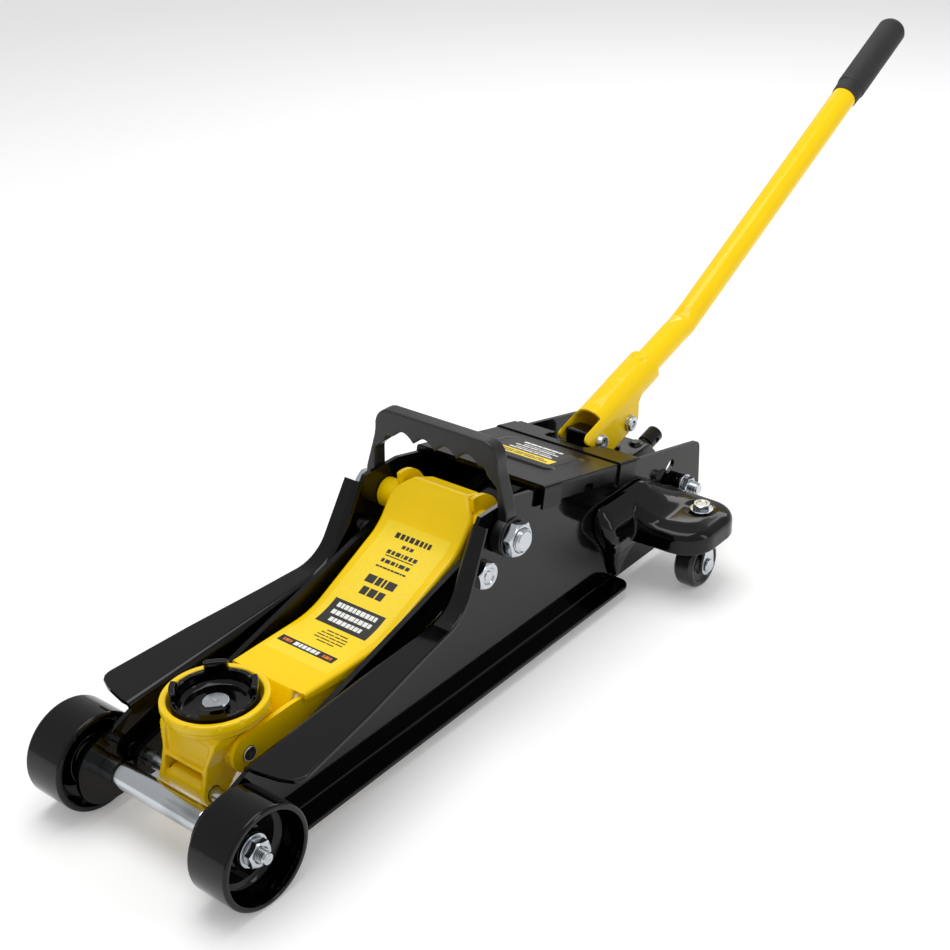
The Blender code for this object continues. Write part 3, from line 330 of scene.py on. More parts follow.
def bar(axis, centre, radius, low, high, edge=0.8, steps=48):
    """Round bar with rounded ends."""
    if low > high:
        low, high = high, low
    profile = rounded([(low, 0, 0), (low, radius, edge), (high, radius, edge), (high, 0, 0)],
                      closed=False, steps=4)
    return turned(profile, axis, centre, steps)


def cutter(axis, centre, radius, low, high, steps=40):
    """Plain round tool for drilling."""
    return turned([(low, 0), (low, radius), (high, radius), (high, 0)], axis, centre, steps)


def washer(axis, centre, inner, outer, low, high, edge=0.4, steps=64):
    """Flat ring with softened rims."""
    profile = rounded([(low, inner, 0), (low, outer, edge), (high, outer, edge), (high, inner, 0)], steps=3)
    return turned(profile, axis, centre, steps, closed=True)


def threaded(radius, low, high, pitch):
    """Profile points of a threaded stretch, from low to high: crests and roots a pitch apart."""
    depth = 0.5 * pitch
    count = max(2, round(abs(high - low) / pitch))
    step = (high - low) / count
    points = []
    for turn in range(count):
        start = low + turn * step
        points += [(start, radius - depth), (start + 0.35 * step, radius), (start + 0.65 * step, radius)]
    return points + [(high, radius - depth)]


def hexagon(axis, centre, flats, low, high, bore=0.0, turn=0.0):
    """Hexagon nut or bolt head with turned chamfers on both faces."""
    corner = flats / math.sqrt(3)
    outline = []
    for step in range(6):
        angle = math.pi * (step + 0.5) / 3 + turn
        outline.append((centre[0] + corner * math.cos(angle), centre[1] + corner * math.sin(angle)))
    nut = prism(outline, axis, low, high)
    drop = (corner - flats * 0.475) * 0.6
    shape = rounded([(low, 0, 0), (low, flats * 0.475, 0.3), (low + drop, corner + 0.05, 0),
                     (high - drop, corner + 0.05, 0), (high, flats * 0.475, 0.3), (high, 0, 0)],
                    closed=False, steps=3)
    combine(nut, turned(shape, axis, centre, 72), "INTERSECT")
    if bore:
        rim = 0.8
        tool = turned([(low - 1, 0), (low - 1, bore + rim + 1), (low + rim, bore), (high - rim, bore),
                       (high + 1, bore + rim + 1), (high + 1, 0)], axis, centre, 48)
        combine(nut, tool, "DIFFERENCE")
    return nut


def loft(sections, closed=False):
    """Solid through cross-sections, which are lists of as many 3-D points each."""
    build = bmesh.new()
    rings = [[build.verts.new(point) for point in section] for section in sections]
    count = len(rings[0])
    pairs = list(zip(rings, rings[1:]))
    if closed:
        pairs.append((rings[-1], rings[0]))
    for one, two in pairs:
        for index in range(count):
            after = (index + 1) % count
            build.faces.new((one[index], one[after], two[after], two[index]))
    if not closed:
        build.faces.new(rings[0])
        build.faces.new(list(reversed(rings[-1])))
    return mesh_object(build)


def coil(axis, centre, radius, wire, low, high, turns):
    """Compression or extension spring, with its end turns closed flat."""
    build = bmesh.new()
    per_turn = 28
    sides = 10
    closed_turns = 1.0
    total = turns + 2 * closed_turns
    rings = []
    for index in range(int(total * per_turn) + 1):
        at = index / per_turn
        lead = wire * 1.02
        if at < closed_turns:
            along = low + wire / 2 + at * lead
        elif at > total - closed_turns:
            along = high - wire / 2 - (total - at) * lead
        else:
            share = (at - closed_turns) / turns
            along = (low + wire / 2 + lead) * (1 - share) + (high - wire / 2 - lead) * share
        angle = 2 * math.pi * at
        ring_points = []
        for side in range(sides):
            roll = 2 * math.pi * side / sides
            reach = radius + wire / 2 * math.cos(roll)
            ring_points.append(build.verts.new(on_axis(
                axis, along + wire / 2 * math.sin(roll),
                centre[0] + reach * math.cos(angle), centre[1] + reach * math.sin(angle))))
        rings.append(ring_points)
    for one, two in zip(rings, rings[1:]):
        for side in range(sides):
            after = (side + 1) % sides
            build.faces.new((one[side], one[after], two[after], two[side]))
    build.faces.new(rings[0])
    build.faces.new(list(reversed(rings[-1])))
    return mesh_object(build)


def combine(base, tool, operation):
    """Boolean of two work objects, applied; the tool is used up."""
    cut = base.modifiers.new("boolean", "BOOLEAN")
    cut.operation = operation
    cut.object = tool
    apply_modifiers(base)
    bpy.data.objects.remove(tool)
    return base


def apply_modifiers(made):
    """Swap an object's mesh for what its modifiers make of it."""
    bpy.context.view_layer.update()
    evaluated = made.evaluated_get(bpy.context.evaluated_depsgraph_get())
    result = bpy.data.meshes.new_from_object(evaluated)
    made.modifiers.clear()
    old = made.data
    made.data = result
    bpy.data.meshes.remove(old)
    return made


def join(base, *others):
    """Fuse work objects into one."""
    for other in others:
        combine(base, other, "UNION")
    return base


def drill(base, *tools):
    """Cut tools out of a work object, one after another."""
    for tool in tools:
        combine(base, tool, "DIFFERENCE")
    return base


def softened(made, grid, rounds):
    """Round every edge and inner corner, as a casting or a deep pressing has them."""
    remesh = made.modifiers.new("grid", "REMESH")
    remesh.mode = "VOXEL"
    remesh.voxel_size = grid
    smooth = made.modifiers.new("soft", "SMOOTH")
    smooth.factor = 0.5
    smooth.iterations = rounds
    return apply_modifiers(made)


def mirrored(made, sign):
    """Turn a +X piece into its twin on the side that sign names."""
    if sign < 0:
        made.data.transform(Matrix.Scale(-1, 4, (1, 0, 0)))
        made.data.flip_normals()
    return made


def tilted(made, degrees, pivot):
    """Rise of the +Y end by an angle about a pivot (y, z)."""
    centre = Vector((0, pivot[0], pivot[1]))
    turn = Matrix.Rotation(math.radians(degrees), 4, "X")
    made.data.transform(Matrix.Translation(centre) @ turn @ Matrix.Translation(-centre))
    return made


def place(made, name, body, nodes, finish, slot=None, crease=35):
    """Bring a finished piece into the frame: its name, finish, body, and the nodes that it stands for."""
    made.name = name
    made.data.name = name
    made.data.transform(TO_WORLD)
    made.data.materials.clear()
    made.data.materials.append(FINISHES[finish])
    made.data.shade_smooth()
    made.data.set_sharp_from_angle(angle=math.radians(crease))
    even = made.modifiers.new("even shading", "WEIGHTED_NORMAL")
    even.keep_sharp = True
    apply_modifiers(made)
    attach(made, body)
    if nodes:
        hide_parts(*nodes)
    slot or SLOT_OF[finish]
    return made


# ----------------------------------------------------------------- finishes
FINISHES = {}
SLOT_OF = {
    "gloss_black_enamel": "black_enamel",
    "satin_black_enamel": "black_enamel",
    "black_cast_enamel": "black_enamel",
    "safety_yellow_enamel": "yellow_enamel",
    "yellow_cast_enamel": "yellow_enamel",
    "bright_zinc_plate": "zinc",
    "zinc_drawn_bar": "zinc",
    "ground_steel": "bright_steel",
    "spring_steel": "bright_steel",
    "phosphated_steel": "cast_steel",
    "moulded_polypropylene": "black_plastic",
    "caster_polyurethane": "black_plastic",
    "grip_rubber": "black_rubber",
    "label_film": "yellow_enamel",
    "label_black_ink": "black_enamel",
    "label_white_ink": "zinc",
    "label_orange_ink": "yellow_enamel",
}


def linear(hex_colour, alpha=1.0):
    """sRGB hex to the linear colour that shaders take."""
    channels = [int(hex_colour[at:at + 2], 16) / 255 for at in (1, 3, 5)]
    return [c / 12.92 if c <= 0.04045 else ((c + 0.055) / 1.055) ** 2.4 for c in channels] + [alpha]


def add_node(tree, kind, settings=None, links=None):
    """Add a node with its settings, and feed its inputs from other nodes' outputs or with plain values."""
    node = tree.nodes.new(kind)
    for name, value in (settings or {}).items():
        setattr(node, name, value)
    for name, source in (links or {}).items():
        if isinstance(source, bpy.types.NodeSocket):
            tree.links.new(source, node.inputs[name])
        else:
            node.inputs[name].default_value = source
    return node


def new_finish(name, values):
    """A material with one principled shader, set with plain values."""
    material = bpy.data.materials.new(name)
    material.use_nodes = True
    tree = material.node_tree
    shader = tree.nodes["Principled BSDF"]
    for socket, value in values.items():
        shader.inputs[socket].default_value = value
    FINISHES[name] = material
    return tree, shader


def surface_place(tree):
    """Object coordinates in metres, which stay with the piece."""
    return add_node(tree, "ShaderNodeTexCoord").outputs["Object"]


def per_metre(size_mm):
    """Noise scale that gives features of a real size."""
    return 1.0 / (size_mm * MM)


def ramped(tree, source, stops):
    """Colour ramp with (place, colour) stops."""
    node = add_node(tree, "ShaderNodeValToRGB", links={"Fac": source})
    ramp = node.color_ramp
    ramp.elements[0].position, ramp.elements[0].color = stops[0]
    ramp.elements[1].position, ramp.elements[1].color = stops[-1]
    for position, colour in stops[1:-1]:
        ramp.elements.new(position).color = colour
    return node.outputs["Color"]


def remapped(tree, source, low, high, from_low=0.3, from_high=0.7):
    """Spread a noise value over a range."""
    node = add_node(tree, "ShaderNodeMapRange", {}, {
        "Value": source, "From Min": from_low, "From Max": from_high, "To Min": low, "To Max": high})
    return node.outputs["Result"]


def enamel(name, colour, darker, peel_mm, peel_depth, rough, chips=0.0, grain_mm=0.0, mirror=0.5):
    """Baked enamel: gloss over a strong pigment, with the slow waves of sprayed paint."""
    tree, shader = new_finish(name, {"Roughness": rough, "Specular IOR Level": mirror})
    at = surface_place(tree)
    cloud = add_node(tree, "ShaderNodeTexNoise", {}, {"Vector": at, "Scale": per_metre(60), "Detail": 3.0})
    tint = ramped(tree, cloud.outputs["Fac"], [(0.3, darker), (0.7, colour)])
    if chips:
        speck = add_node(tree, "ShaderNodeTexNoise", {}, {"Vector": at, "Scale": per_metre(5), "Detail": 5.0,
                                                          "Roughness": 0.7})
        mask = remapped(tree, speck.outputs["Fac"], 0.0, 1.0, 0.78, 0.80)
        mixed = add_node(tree, "ShaderNodeMix", {"data_type": "RGBA"}, {0: mask, 6: tint})
        mixed.inputs[7].default_value = [c * chips for c in darker[:3]] + [1]
        tint = mixed.outputs[2]
    tree.links.new(tint, shader.inputs["Base Color"])
    smear = add_node(tree, "ShaderNodeTexNoise", {}, {"Vector": at, "Scale": per_metre(22), "Detail": 6.0,
                                                      "Roughness": 0.62})
    tree.links.new(remapped(tree, smear.outputs["Fac"], rough * 0.75, rough * 1.35),
                   shader.inputs["Roughness"])
    peel = add_node(tree, "ShaderNodeTexNoise", {}, {"Vector": at, "Scale": per_metre(peel_mm),
                                                     "Detail": 1.5})
    bump = add_node(tree, "ShaderNodeBump", {}, {"Height": peel.outputs["Fac"], "Strength": 0.35,
                                                 "Distance": peel_depth * MM})
    if grain_mm:
        grain = add_node(tree, "ShaderNodeTexNoise", {}, {"Vector": at, "Scale": per_metre(grain_mm),
                                                          "Detail": 4.0, "Roughness": 0.6})
        bump = add_node(tree, "ShaderNodeBump", {}, {"Height": grain.outputs["Fac"], "Strength": 0.5,
                                                     "Distance": 0.25 * MM, "Normal": bump.outputs["Normal"]})
    tree.links.new(bump.outputs["Normal"], shader.inputs["Normal"])
    return FINISHES[name]


def plated(name, colour, darker, rough, spangle_mm, brush=(1.0, 1.0, 1.0)):
    """Bare or plated steel: metal, with a faint crystal mottle and, where it was ground, lines round it."""
    tree, shader = new_finish(name, {"Metallic": 1.0, "Roughness": rough})
    at = surface_place(tree)
    aligned = add_node(tree, "ShaderNodeMapping", {}, {"Vector": at, "Scale": brush})
    cells = add_node(tree, "ShaderNodeTexVoronoi", {}, {"Vector": at, "Scale": per_metre(spangle_mm)})
    cloud = add_node(tree, "ShaderNodeTexNoise", {}, {"Vector": aligned.outputs["Vector"],
                                                      "Scale": per_metre(6),
                                                      "Detail": 5.0})
    both = add_node(tree, "ShaderNodeMath", {"operation": "ADD"}, {0: cells.outputs["Distance"],
                                                                   1: cloud.outputs["Fac"]})
    tree.links.new(ramped(tree, both.outputs[0], [(0.45, darker), (1.0, colour)]),
                   shader.inputs["Base Color"])
    tree.links.new(remapped(tree, cloud.outputs["Fac"], rough * 0.7, rough * 1.4), shader.inputs["Roughness"])
    lines = add_node(tree, "ShaderNodeTexNoise", {}, {"Vector": aligned.outputs["Vector"],
                                                      "Scale": per_metre(4), "Detail": 4.0})
    bump = add_node(tree, "ShaderNodeBump", {}, {"Height": lines.outputs["Fac"], "Strength": 0.2,
                                                 "Distance": 0.04 * MM})
    tree.links.new(bump.outputs["Normal"], shader.inputs["Normal"])
    return FINISHES[name]


def moulded(name, colour, lighter, rough, grain_mm, depth_mm, strength=0.6):
    """Moulded polymer: spark-eroded mould grain, and a little lighter where hands or floors rub it."""
    tree, shader = new_finish(name, {"Roughness": rough, "Specular IOR Level": 0.5})
    at = surface_place(tree)
    cloud = add_node(tree, "ShaderNodeTexNoise", {}, {"Vector": at, "Scale": per_metre(18), "Detail": 6.0,
                                                      "Roughness": 0.65})
    tree.links.new(ramped(tree, cloud.outputs["Fac"], [(0.35, colour), (0.75, lighter)]),
                   shader.inputs["Base Color"])
    tree.links.new(remapped(tree, cloud.outputs["Fac"], rough * 0.85, rough * 1.15),
                   shader.inputs["Roughness"])
    grain = add_node(tree, "ShaderNodeTexNoise", {}, {"Vector": at, "Scale": per_metre(grain_mm),
                                                      "Detail": 3.0, "Roughness": 0.55})
    bump = add_node(tree, "ShaderNodeBump", {}, {"Height": grain.outputs["Fac"], "Strength": strength,
                                                 "Distance": depth_mm * MM})
    tree.links.new(bump.outputs["Normal"], shader.inputs["Normal"])
    return FINISHES[name]


def ink(name, colour, rough):
    """Screen ink or film: an even coat with a faint mottle."""
    tree, shader = new_finish(name, {"Roughness": rough})
    at = surface_place(tree)
    cloud = add_node(tree, "ShaderNodeTexNoise", {}, {"Vector": at, "Scale": per_metre(3), "Detail": 3.0})
    worn = [c * 0.95 for c in colour[:3]] + [1]
    tree.links.new(ramped(tree, cloud.outputs["Fac"], [(0.25, worn), (0.55, colour)]),
                   shader.inputs["Base Color"])
    tree.links.new(remapped(tree, cloud.outputs["Fac"], rough * 0.9, rough * 1.2), shader.inputs["Roughness"])
    return FINISHES[name]


def dimmed(colour, share):
    """The same colour at a share of its light."""
    return [c * share for c in colour[:3]] + [1]


def mix_finishes(colours):
    """Every finish, from the colours in the sidebar."""
    yellow = linear(colours.yellow)
    black = linear(colours.black)
    # Baked alkyd enamel, sprayed on pressed sheet: deep gloss, with a faint orange peel about 3 mm across.
    enamel("gloss_black_enamel", black, dimmed(black, 0.7), 3.0, 0.02, 0.07, mirror=0.3)
    # A thinner coat of it: the same black with a broader, duller highlight.
    enamel("satin_black_enamel", black, dimmed(black, 0.8), 2.2, 0.03, 0.2, mirror=0.25)
    # The same enamel on a sand casting: the sand shows through the gloss. Its 0.3 mm grains are drawn
    # four to five times coarser here and on the saddle, or they would not show.
    enamel("black_cast_enamel", black, dimmed(black, 0.7), 4.0, 0.10, 0.14, grain_mm=1.2, mirror=0.35)
    # Yellow enamel over a dark primer: a strong even yellow, with a few pinhole chips.
    enamel("safety_yellow_enamel", yellow, dimmed(yellow, 0.96), 3.0, 0.03, 0.16, chips=0.35, mirror=0.3)
    enamel("yellow_cast_enamel", yellow, dimmed(yellow, 0.9), 5.0, 0.14, 0.2, chips=0.3, grain_mm=1.6,
           mirror=0.35)
    # Bright zinc electroplated over machined steel: blue-white metal with a fine crystal mottle.
    zinc = linear(colours.zinc)
    plated("bright_zinc_plate", zinc, dimmed(zinc, 0.84), 0.2, 1.2)
    # The same plate over drawn bar, whose long draw lines still show.
    plated("zinc_drawn_bar", zinc, dimmed(zinc, 0.36), 0.14, 40, brush=(0.06, 1.6, 1.6))
    # Steel ground between centres: fine rings run round it.
    steel = linear(colours.steel)
    plated("ground_steel", steel, dimmed(steel, 0.85), 0.16, 2.0, brush=(1.0, 24.0, 1.0))
    # Oiled spring wire: darker and duller than the ground rods.
    plated("spring_steel", dimmed(steel, 0.75), dimmed(steel, 0.45), 0.3, 1.0)
    # Manganese phosphate: a dark, dry, slightly sparkling crystal coat.
    phosphate = linear("#2A2A2C")
    plated("phosphated_steel", phosphate, dimmed(phosphate, 0.6), 0.5, 0.6)
    # Injection-moulded polypropylene: satin black, with the mould's spark grain about 0.7 mm across.
    plastic = linear(colours.plastic)
    moulded("moulded_polypropylene", plastic, linear("#141415"), 0.36, 0.7, 0.04, 0.3)
    # Cast polyurethane: smoother and glossier than the handle, and greyer where it has rolled.
    moulded("caster_polyurethane", linear("#0F0F10"), linear("#1B1B1C"), 0.28, 1.5, 0.05, 0.3)
    # Moulded rubber: dull black with an open, soft grain.
    rubber = linear(colours.rubber)
    moulded("grip_rubber", rubber, linear("#242425"), 0.62, 0.9, 0.12, 0.6)
    # Vinyl film with screen inks: flat colours, a little duller than the enamel under them.
    ink("label_film", linear("#FFDC14"), 0.4)
    ink("label_black_ink", linear("#16140C"), 0.38)
    ink("label_white_ink", linear("#F2F2EE"), 0.4)
    ink("label_orange_ink", linear("#E8741C"), 0.4)


# ------------------------------------------------------------ shared shapes
def run_of(line, index):
    """Direction of a (y, z) line at one of its points."""
    before = Vector(line[max(index - 1, 0)])
    after = Vector(line[min(index + 1, len(line) - 1)])
    return (after - before).normalized()


def swept(line, profile_of, up=1):
    """Sheet along a (y, z) line, from the (x, depth) profile at each y, hung below it, or above with up=-1."""
    sections = []
    for index, (y, z) in enumerate(line):
        run = run_of(line, index)
        profile = profile_of(y)
        sections.append([(x, y + up * run.y * depth, z - up * run.x * depth) for x, depth in profile])
    return loft(sections)


def channel(half, wall, drop, radius):
    """(x, depth) profile of a sheet folded down at both sides."""
    inner = half - wall
    inside = max(radius - wall, 0.5)
    return rounded([(-half, drop, 0), (-half, 0, radius), (half, 0, radius), (half, drop, 0),
                    (inner, drop, 0), (inner, wall, inside), (-inner, wall, inside), (-inner, drop, 0)],
                   steps=5)


def plate_top(y):
    """Height of the sloping top edge of the side plates."""
    tail = 93.5
    crest = 334.0
    return PLATE_TOP + (tail - PLATE_TOP) / (PLATE_REAR - crest) * (y - crest)


# ---------------------------------------------------------------- side plates
FOLD_START = (27.0, 2 * WHEEL_RADIUS + 1.5)
LOW_FOLD = (46.0, 477.0)
LOW_FOLD_Z = 10.0
OIL_HOLE = (568.0, 87.5)


def upper_fold_line():
    """(y, z) line of a plate's upper fold, from the front corner up to the crest."""
    line = rounded([(*FOLD_START, 0), (246, 95, 40), (283, 157, 0)], closed=False, steps=18)
    return spread(line, 4)


def fold_profile(reach, radius, web):
    """(x, depth) profile of the fold, its flange out to reach and its web part down to web."""
    near = PLATE_IN + 0.02
    far = PLATE_OUT - 0.02
    return rounded([(near, web, 0), (near, 0, radius), (reach, 0, 1.2), (reach, PLATE_WALL, 1.2),
                    (far, PLATE_WALL, radius - PLATE_WALL), (far, web, 0)], steps=6)


def upper_reach(y):
    """How far the upper flange stands out: a slanted, rounded front corner, then a taper to the crest."""
    return PLATE_OUT + between(y, (27, 29, 31, 33, 35, 37, 39, 41, 44, 120, 187, 235, 283),
                               (8, 20, 28, 34, 37.6, 39.8, 41.2, 42, 42.5, 34, 24, 18, 12))


def lower_reach(y):
    """The lower flange, with its two corners rounded."""
    corner = 10.0
    full = 19.0
    inset = max(LOW_FOLD[0] + corner - y, y - LOW_FOLD[1] + corner, 0.0)
    return PLATE_OUT + full - corner + math.sqrt(max(corner ** 2 - inset ** 2, 0.0))


def build_side_plates(sizes):
    """Pressed plates: flanged above and below, with a round nose for the axle."""
    radius = sizes.fold_radius
    web = radius + 3
    nose = WHEEL_RADIUS + 28
    fold = upper_fold_line()
    under = []
    for index, (y, z) in enumerate(fold):
        run = run_of(fold, index)
        under.append((y + run.y * (radius - 0.1), z - run.x * (radius - 0.1)))
    for side, sign in SIDES:
        front = rounded([(0, 11, 0), (-28, 11, 27), (-28, nose, 27), (8, nose, 8),
                         (under[0][0], under[0][1], 0)],
                        closed=False, steps=16)
        crest = rounded([under[-1], (292, PLATE_TOP, 7), (334, PLATE_TOP, 14), (PLATE_REAR, 93.5, 9),
                         (PLATE_REAR, 47, 6), (544, 11, 10), (LOW_FOLD[1], 11, 0)][1:], closed=False,
                        steps=10)
        low = LOW_FOLD_Z + radius - 0.1
        outline = front[:-1] + under + crest + [(LOW_FOLD[1], low), (LOW_FOLD[0], low), (LOW_FOLD[0], 11)]
        plate = prism(outline, "X", PLATE_IN, PLATE_OUT, 0)
        upper = swept(fold, lambda y: fold_profile(upper_reach(y), radius, web))
        corner = [LOW_FOLD[0] + 10 * (1 - math.cos(math.pi * k / 20)) for k in range(11)]
        stations = corner + [LOW_FOLD[0] + LOW_FOLD[1] - y for y in reversed(corner)]
        line = [(y, LOW_FOLD_Z) for y in stations]
        lower = swept(line, lambda y: fold_profile(lower_reach(y), radius, web), up=-1)
        join(plate, upper, lower)
        holes = [(AXLE, 7.3), (ARM_PIVOT, 10.3), (LINK_PIVOT, 6.3), (TIE_ROD, 6.3)]
        for centre, hole in holes:
            drill(plate, cutter("X", centre, hole, PLATE_IN - 3, PLATE_OUT + 3))
        oval = hull([(OIL_HOLE[0] - 2.5, OIL_HOLE[1] - 1.5, 4.2),
                     (OIL_HOLE[0] + 2.5, OIL_HOLE[1] + 1.5, 4.8)], 32)
        drill(plate, prism(oval, "X", PLATE_IN - 3, PLATE_OUT + 3))
        place(mirrored(plate, sign), f"plate_{side}", "chassis", [f"side_plate_{side}"], "gloss_black_enamel")


# --------------------------------------------------------- axle and wheels
def both_ways(half):
    """A rod's whole profile, from the half that starts at its middle."""
    return [(-along, radius) for along, radius in reversed(half)] + half[1:]


def build_front_axle(sizes):
    """Turned bar with threaded ends, and a washer and a lock nut for each."""
    shoulder = PLATE_IN - GAP
    seat = WHEEL_SEAT
    end = WHEEL_OUT + 0.4
    half = rounded([(0, 10, 0), (shoulder - 15.7, 10, 2), (shoulder - 12.2, 9.3, 1), (shoulder, 9.3, 0)],
                   closed=False, steps=4)
    half += [(shoulder, 7), (seat, 7), (seat, 5.4)]
    half += threaded(5.5, seat + 0.5, end - 1.2, sizes.thread_pitch) + [(end, 4.2), (end, 0)]
    profile = both_ways(half)
    place(turned(profile, "X", AXLE, 64), "axle_bar", "chassis", ["front_axle"], "zinc_drawn_bar")
    for side, sign in SIDES:
        low = seat + GAP
        disc = washer("X", AXLE, 5.8, 13, low, low + 2)
        place(mirrored(disc, sign), f"axle_seat_ring_{side}", "chassis", [f"axle_washer_{side}"],
              "bright_zinc_plate")
        nut = hexagon("X", AXLE, 19, low + 2 + GAP, low + 9 + GAP, 5.8, turn=0.2)
        join(nut, washer("X", AXLE, 5.8, 10.6, low + 2 + GAP, low + 3.6 + GAP))
        place(mirrored(nut, sign), f"axle_lock_nut_{side}", "chassis", [f"axle_nut_{side}"],
              "bright_zinc_plate")


def build_front_wheels():
    """Cast and turned wheels: a thin lip, a deep outer cup with a hub, and a ringed inner face."""
    inner = WHEEL_IN
    outer = WHEEL_OUT
    rim = WHEEL_RADIUS
    seat = WHEEL_SEAT - 0.2
    corners = [(inner - 3, 7.3, 0), (inner - 3, 13, 1.2), (inner + 2, 14, 1), (inner + 3, 18, 1.2),
               (inner + 6, 19, 1.5), (inner + 9, 21, 1.5), (inner + 9.5, rim - 9, 2.5),
               (inner + 5, rim - 5.5, 1), (inner, rim - 4.6, 0.8), (inner, rim, 2.2),
               (outer, rim, 2.4), (outer, rim - 4.6, 1.0), (outer - 4, rim - 5.2, 1),
               (inner + 17, rim - 6.2, 4), (inner + 14.5, rim - 12, 3), (inner + 14.5, 17.5, 1),
               (inner + 17, 16.6, 1), (inner + 17.5, 13.8, 1), (seat, 13.2, 0.8), (seat, 7.3, 0)]
    profile = rounded(corners, steps=4)
    for side, sign in SIDES:
        wheel = turned(profile, "X", AXLE, 144, closed=True)
        place(mirrored(wheel, sign), f"wheel_{side}", f"front_wheel_{side}", [f"front_wheel_{side}"],
              "gloss_black_enamel")


# ---------------------------------------------------- rods, pins and bolts
def build_cross_rods(sizes):
    """Tie rod with its bosses, pivot shaft, link bolts, and the pins inside the arm."""
    reach = PLATE_OUT + 26
    tip = threaded(6.0, PLATE_OUT + 10, reach - 1, sizes.thread_pitch)
    half = [(0, 6), (PLATE_OUT + 9, 6)] + tip + [(reach, 4.6), (reach, 0)]
    profile = both_ways(half)
    place(turned(profile, "X", TIE_ROD, 48), "tie_bar", "chassis", ["rear_tie_rod"], "bright_zinc_plate")
    for side, sign in SIDES:
        boss = washer("X", TIE_ROD, 6.3, 9.5, PLATE_OUT + GAP, PLATE_OUT + 9, 1.0)
        place(mirrored(boss, sign), f"tie_boss_{side}", "chassis", [f"tie_rod_spacer_{side}"],
              "gloss_black_enamel")
        nut = hexagon("X", TIE_ROD, 16, PLATE_OUT + 9.3 + 1.6, PLATE_OUT + 17, 6.3, turn=0.3)
        join(nut, washer("X", TIE_ROD, 6.3, 10.4, PLATE_OUT + 9.3, PLATE_OUT + 11))
        place(mirrored(nut, sign), f"tie_nut_{side}", "chassis", [f"tie_rod_nut_{side}"], "bright_zinc_plate")

    low = spot("lift_pivot_nut_left")[0].x
    reach = spot("lift_pivot_shaft")[1].x
    tip = threaded(10.0, low + 0.5, reach - 1.2, 1.8)
    half = [(0, 10), (low - 1, 10)] + tip + [(reach, 8.2), (reach, 0)]
    profile = both_ways(half)
    place(turned(profile, "X", ARM_PIVOT, 64), "pivot_shaft", "chassis", ["lift_pivot_shaft"],
          "bright_zinc_plate")
    for side, sign in SIDES:
        nut = hexagon("X", ARM_PIVOT, 27, low, low + 9, 10.3, turn=0.25)
        place(mirrored(nut, sign), f"pivot_nut_{side}", "chassis", [f"lift_pivot_nut_{side}"],
              "bright_zinc_plate")

    box = spot("link_bolt_left")
    tip = spot("link_bar_left")[1].x + GAP
    for side, sign in SIDES:
        profile = rounded([(box[0].x, 0, 0), (box[0].x, 6, 0.8), (tip, 6, 0), (tip, 9, 0.4),
                           (PLATE_IN - GAP, 9, 0.4), (PLATE_IN - GAP, 6, 0), (PLATE_OUT + 4, 6, 0),
                           (PLATE_OUT + 4, 0, 0)], closed=False, steps=3)
        bolt = turned(profile, "X", LINK_PIVOT, 48)
        head = hexagon("X", LINK_PIVOT, 22, PLATE_OUT + GAP, box[1].x, turn=0.1)
        dish = turned([(box[1].x - 1.2, 0), (box[1].x - 1.2, 6.2), (box[1].x + 1, 8.6), (box[1].x + 1, 0)],
                      "X", LINK_PIVOT, 48)
        drill(head, dish)
        join(head, bar("X", LINK_PIVOT, 4.6, box[1].x - 4, box[1].x, 1.0))
        place(mirrored(join(bolt, head), sign), f"link_pivot_bolt_{side}", "chassis", [f"link_bolt_{side}"],
              "bright_zinc_plate")

    rods = (("saddle_pivot_pin", "lift_arm", SADDLE_PIVOT, 6, "bright_zinc_plate"),
            ("link_pin", "saddle", LINK_PIN, 6, "bright_zinc_plate"),
            ("ram_pin", "lift_arm", middle_of("ram_pin"), 7, "ground_steel"))
    for node, body, centre, radius, finish in rods:
        low, high = spot(node)
        place(bar("X", centre, radius, low.x, high.x, 1.0), f"{node}_rod", body, [node], finish)


